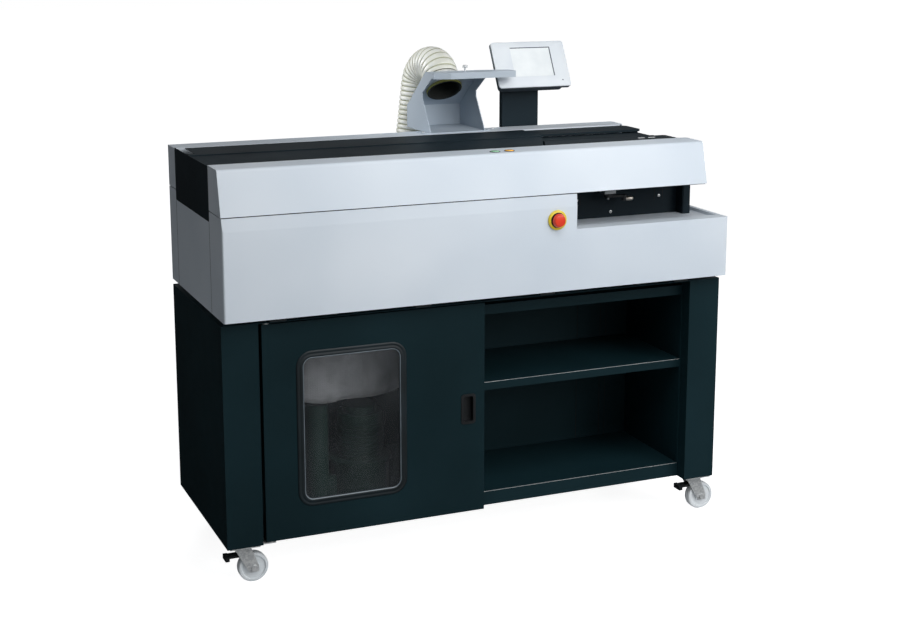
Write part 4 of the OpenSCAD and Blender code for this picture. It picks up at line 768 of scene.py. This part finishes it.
def wheel(name, body, node):
    """A cast nylon wheel: rounded tread, dished faces and a raised hub."""
    low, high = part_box(node)
    middle = (low + high) / 2
    x, y, z = (1000 * (middle.x - MIDDLE), 1000 * (middle.y - FRONT), 1000 * middle.z)
    half = [(-13.7, 5.05), (-13.7, 10.5), (-12.2, 11), (-12, 14), (-9, 15.5), (-9, 28.5),
            (-12, 30), (-12, 34.2), (-11, 36), (-8.5, 37.2), (-4, 37.5)]
    outline = half + [(-a, r) for a, r in half[::-1]]
    bm = fresh()
    lathe(bm, (x, y, z), (0, 1, 0), outline, 64)
    finish_piece(name, bm, body, NYLON, (node,), smooth=35)


for end, side, short in (("front", "left", "fl"), ("front", "right", "fr"),
                         ("rear", "left", "rl"), ("rear", "right", "rr")):
    wheel(f"caster_wheel_{short}", "wheel_" + short, f"wheel_{end}_{side}")


# ------------------------------------------------------------------ camera, light and floor

CAMERA_AT = at(-1524.2, -3362.8, 1544.1)
YAW, PITCH, ROLL = -22.78, -11.37, 0.03
FOCAL_PIXELS, PHOTO_WIDTH = 1539.4, 900
camera = bpy.data.cameras.new("photo_camera")
camera.sensor_width = 36
camera.lens = FOCAL_PIXELS / PHOTO_WIDTH * camera.sensor_width
camera.shift_y = -0.08
camera.clip_end = 60
eye = bpy.data.objects.new("photo_camera", camera)
eye.location = CAMERA_AT
eye.rotation_euler = (math.radians(90 + PITCH), math.radians(ROLL), math.radians(YAW))
bpy.context.scene.collection.objects.link(eye)
bpy.context.scene.camera = eye


def far_softbox(name, towards, level, spread, mirrored=True):
    """An even, distant softbox. Level 1 shows a colour as written on a face that looks at it."""
    data = bpy.data.lights.new(name, "SUN")
    data.energy = level * math.pi
    data.angle = math.radians(spread)
    lamp = bpy.data.objects.new(name, data)
    lamp.rotation_euler = Vector(towards).to_track_quat("Z", "Y").to_euler()
    lamp.visible_glossy = mirrored
    bpy.context.scene.collection.objects.link(lamp)


def standing_lamp(name, kind, place_at, look_at, watts, **settings):
    """A lamp at a point, looking at another."""
    data = bpy.data.lights.new(name, kind)
    data.energy = watts
    for key, value in settings.items():
        setattr(data, key, value)
    lamp = bpy.data.objects.new(name, data)
    lamp.location = at(*place_at)
    lamp.rotation_euler = (lamp.location - at(*look_at)).to_track_quat("Z", "Y").to_euler()
    bpy.context.scene.collection.objects.link(lamp)


standing_lamp("right_softbox", "AREA", (2100, -2300, 2000), (200, 100, 800), 41, size=1.6)
standing_lamp("overhead_softbox", "AREA", (150, -1050, 2100), (200, 60, 900), 20, size=1.2)
far_softbox("front_fill", (0.25, -0.95, 0.2), 0.14, 40)
far_softbox("rear_fill", (0.4, 0.9, 0.05), 0.6, 20, mirrored=False)
standing_lamp("hood_spot", "SPOT", (-2000, 1900, 1900), (60, 600, 1120), 210,
              spot_size=math.radians(15), spot_blend=0.8, shadow_soft_size=0.15)

world = bpy.data.worlds.new("studio")
bpy.context.scene.world = world
world.use_nodes = True
tree = world.node_tree
tree.nodes.clear()
seen = add(tree, "ShaderNodeLightPath")
plain = add(tree, "ShaderNodeMath", {0: seen.outputs["Is Camera Ray"],
                                     1: seen.outputs["Is Transmission Ray"]},
            operation="MAXIMUM")
sheen = add(tree, "ShaderNodeMath", {0: seen.outputs["Is Glossy Ray"], 1: 0.14},
            operation="MULTIPLY")
plain = add(tree, "ShaderNodeMath", {0: plain.outputs[0], 1: sheen.outputs[0]},
            operation="MAXIMUM")
room = add(tree, "ShaderNodeBackground", {"Color": linear("#F4F6F8"), "Strength": 0.12})
paper = add(tree, "ShaderNodeBackground", {"Color": (1, 1, 1, 1), "Strength": 1.0})
both = add(tree, "ShaderNodeMixShader", {0: plain.outputs[0], 1: room.outputs[0],
                                         2: paper.outputs[0]})
add(tree, "ShaderNodeOutputWorld", {"Surface": both.outputs[0]})

FLOOR_HALF = 30
bm = fresh()
for x, y in ((-1, -1), (1, -1), (1, 1), (-1, 1)):
    bm.verts.new((x * FLOOR_HALF, y * FLOOR_HALF, 0))
bm.faces.new(bm.verts)
floor_mesh = bpy.data.meshes.new("studio_floor")
bm.to_mesh(floor_mesh)
bm.free()
floor = bpy.data.objects.new("studio_floor", floor_mesh)
bpy.context.scene.collection.objects.link(floor)
paint, tree, shader = surface("studio_floor_paper", Roughness=0.9, Specular_IOR_Level=0.1)
tinted(tree, shader, grain(tree, 900, 1), linear("#E3E5E7"), linear("#E7E9EB"))
seen = add(tree, "ShaderNodeLightPath")
dark = add(tree, "ShaderNodeBsdfDiffuse", {"Color": linear("#4A4D50")})
glow = add(tree, "ShaderNodeEmission", {"Color": (1, 1, 1, 1), "Strength": 0.9})
lifted = add(tree, "ShaderNodeAddShader", {0: shader.outputs[0], 1: glow.outputs[0]})
mirrored = add(tree, "ShaderNodeMixShader", {0: seen.outputs["Is Glossy Ray"],
                                             1: shader.outputs[0], 2: dark.outputs[0]})
choice = add(tree, "ShaderNodeMixShader", {0: seen.outputs["Is Camera Ray"],
                                           1: mirrored.outputs[0], 2: lifted.outputs[0]})
tree.links.new(choice.outputs[0], tree.nodes["Material Output"].inputs["Surface"])
floor_mesh.materials.append(paint)

bpy.context.scene.view_settings.view_transform = "Standard"
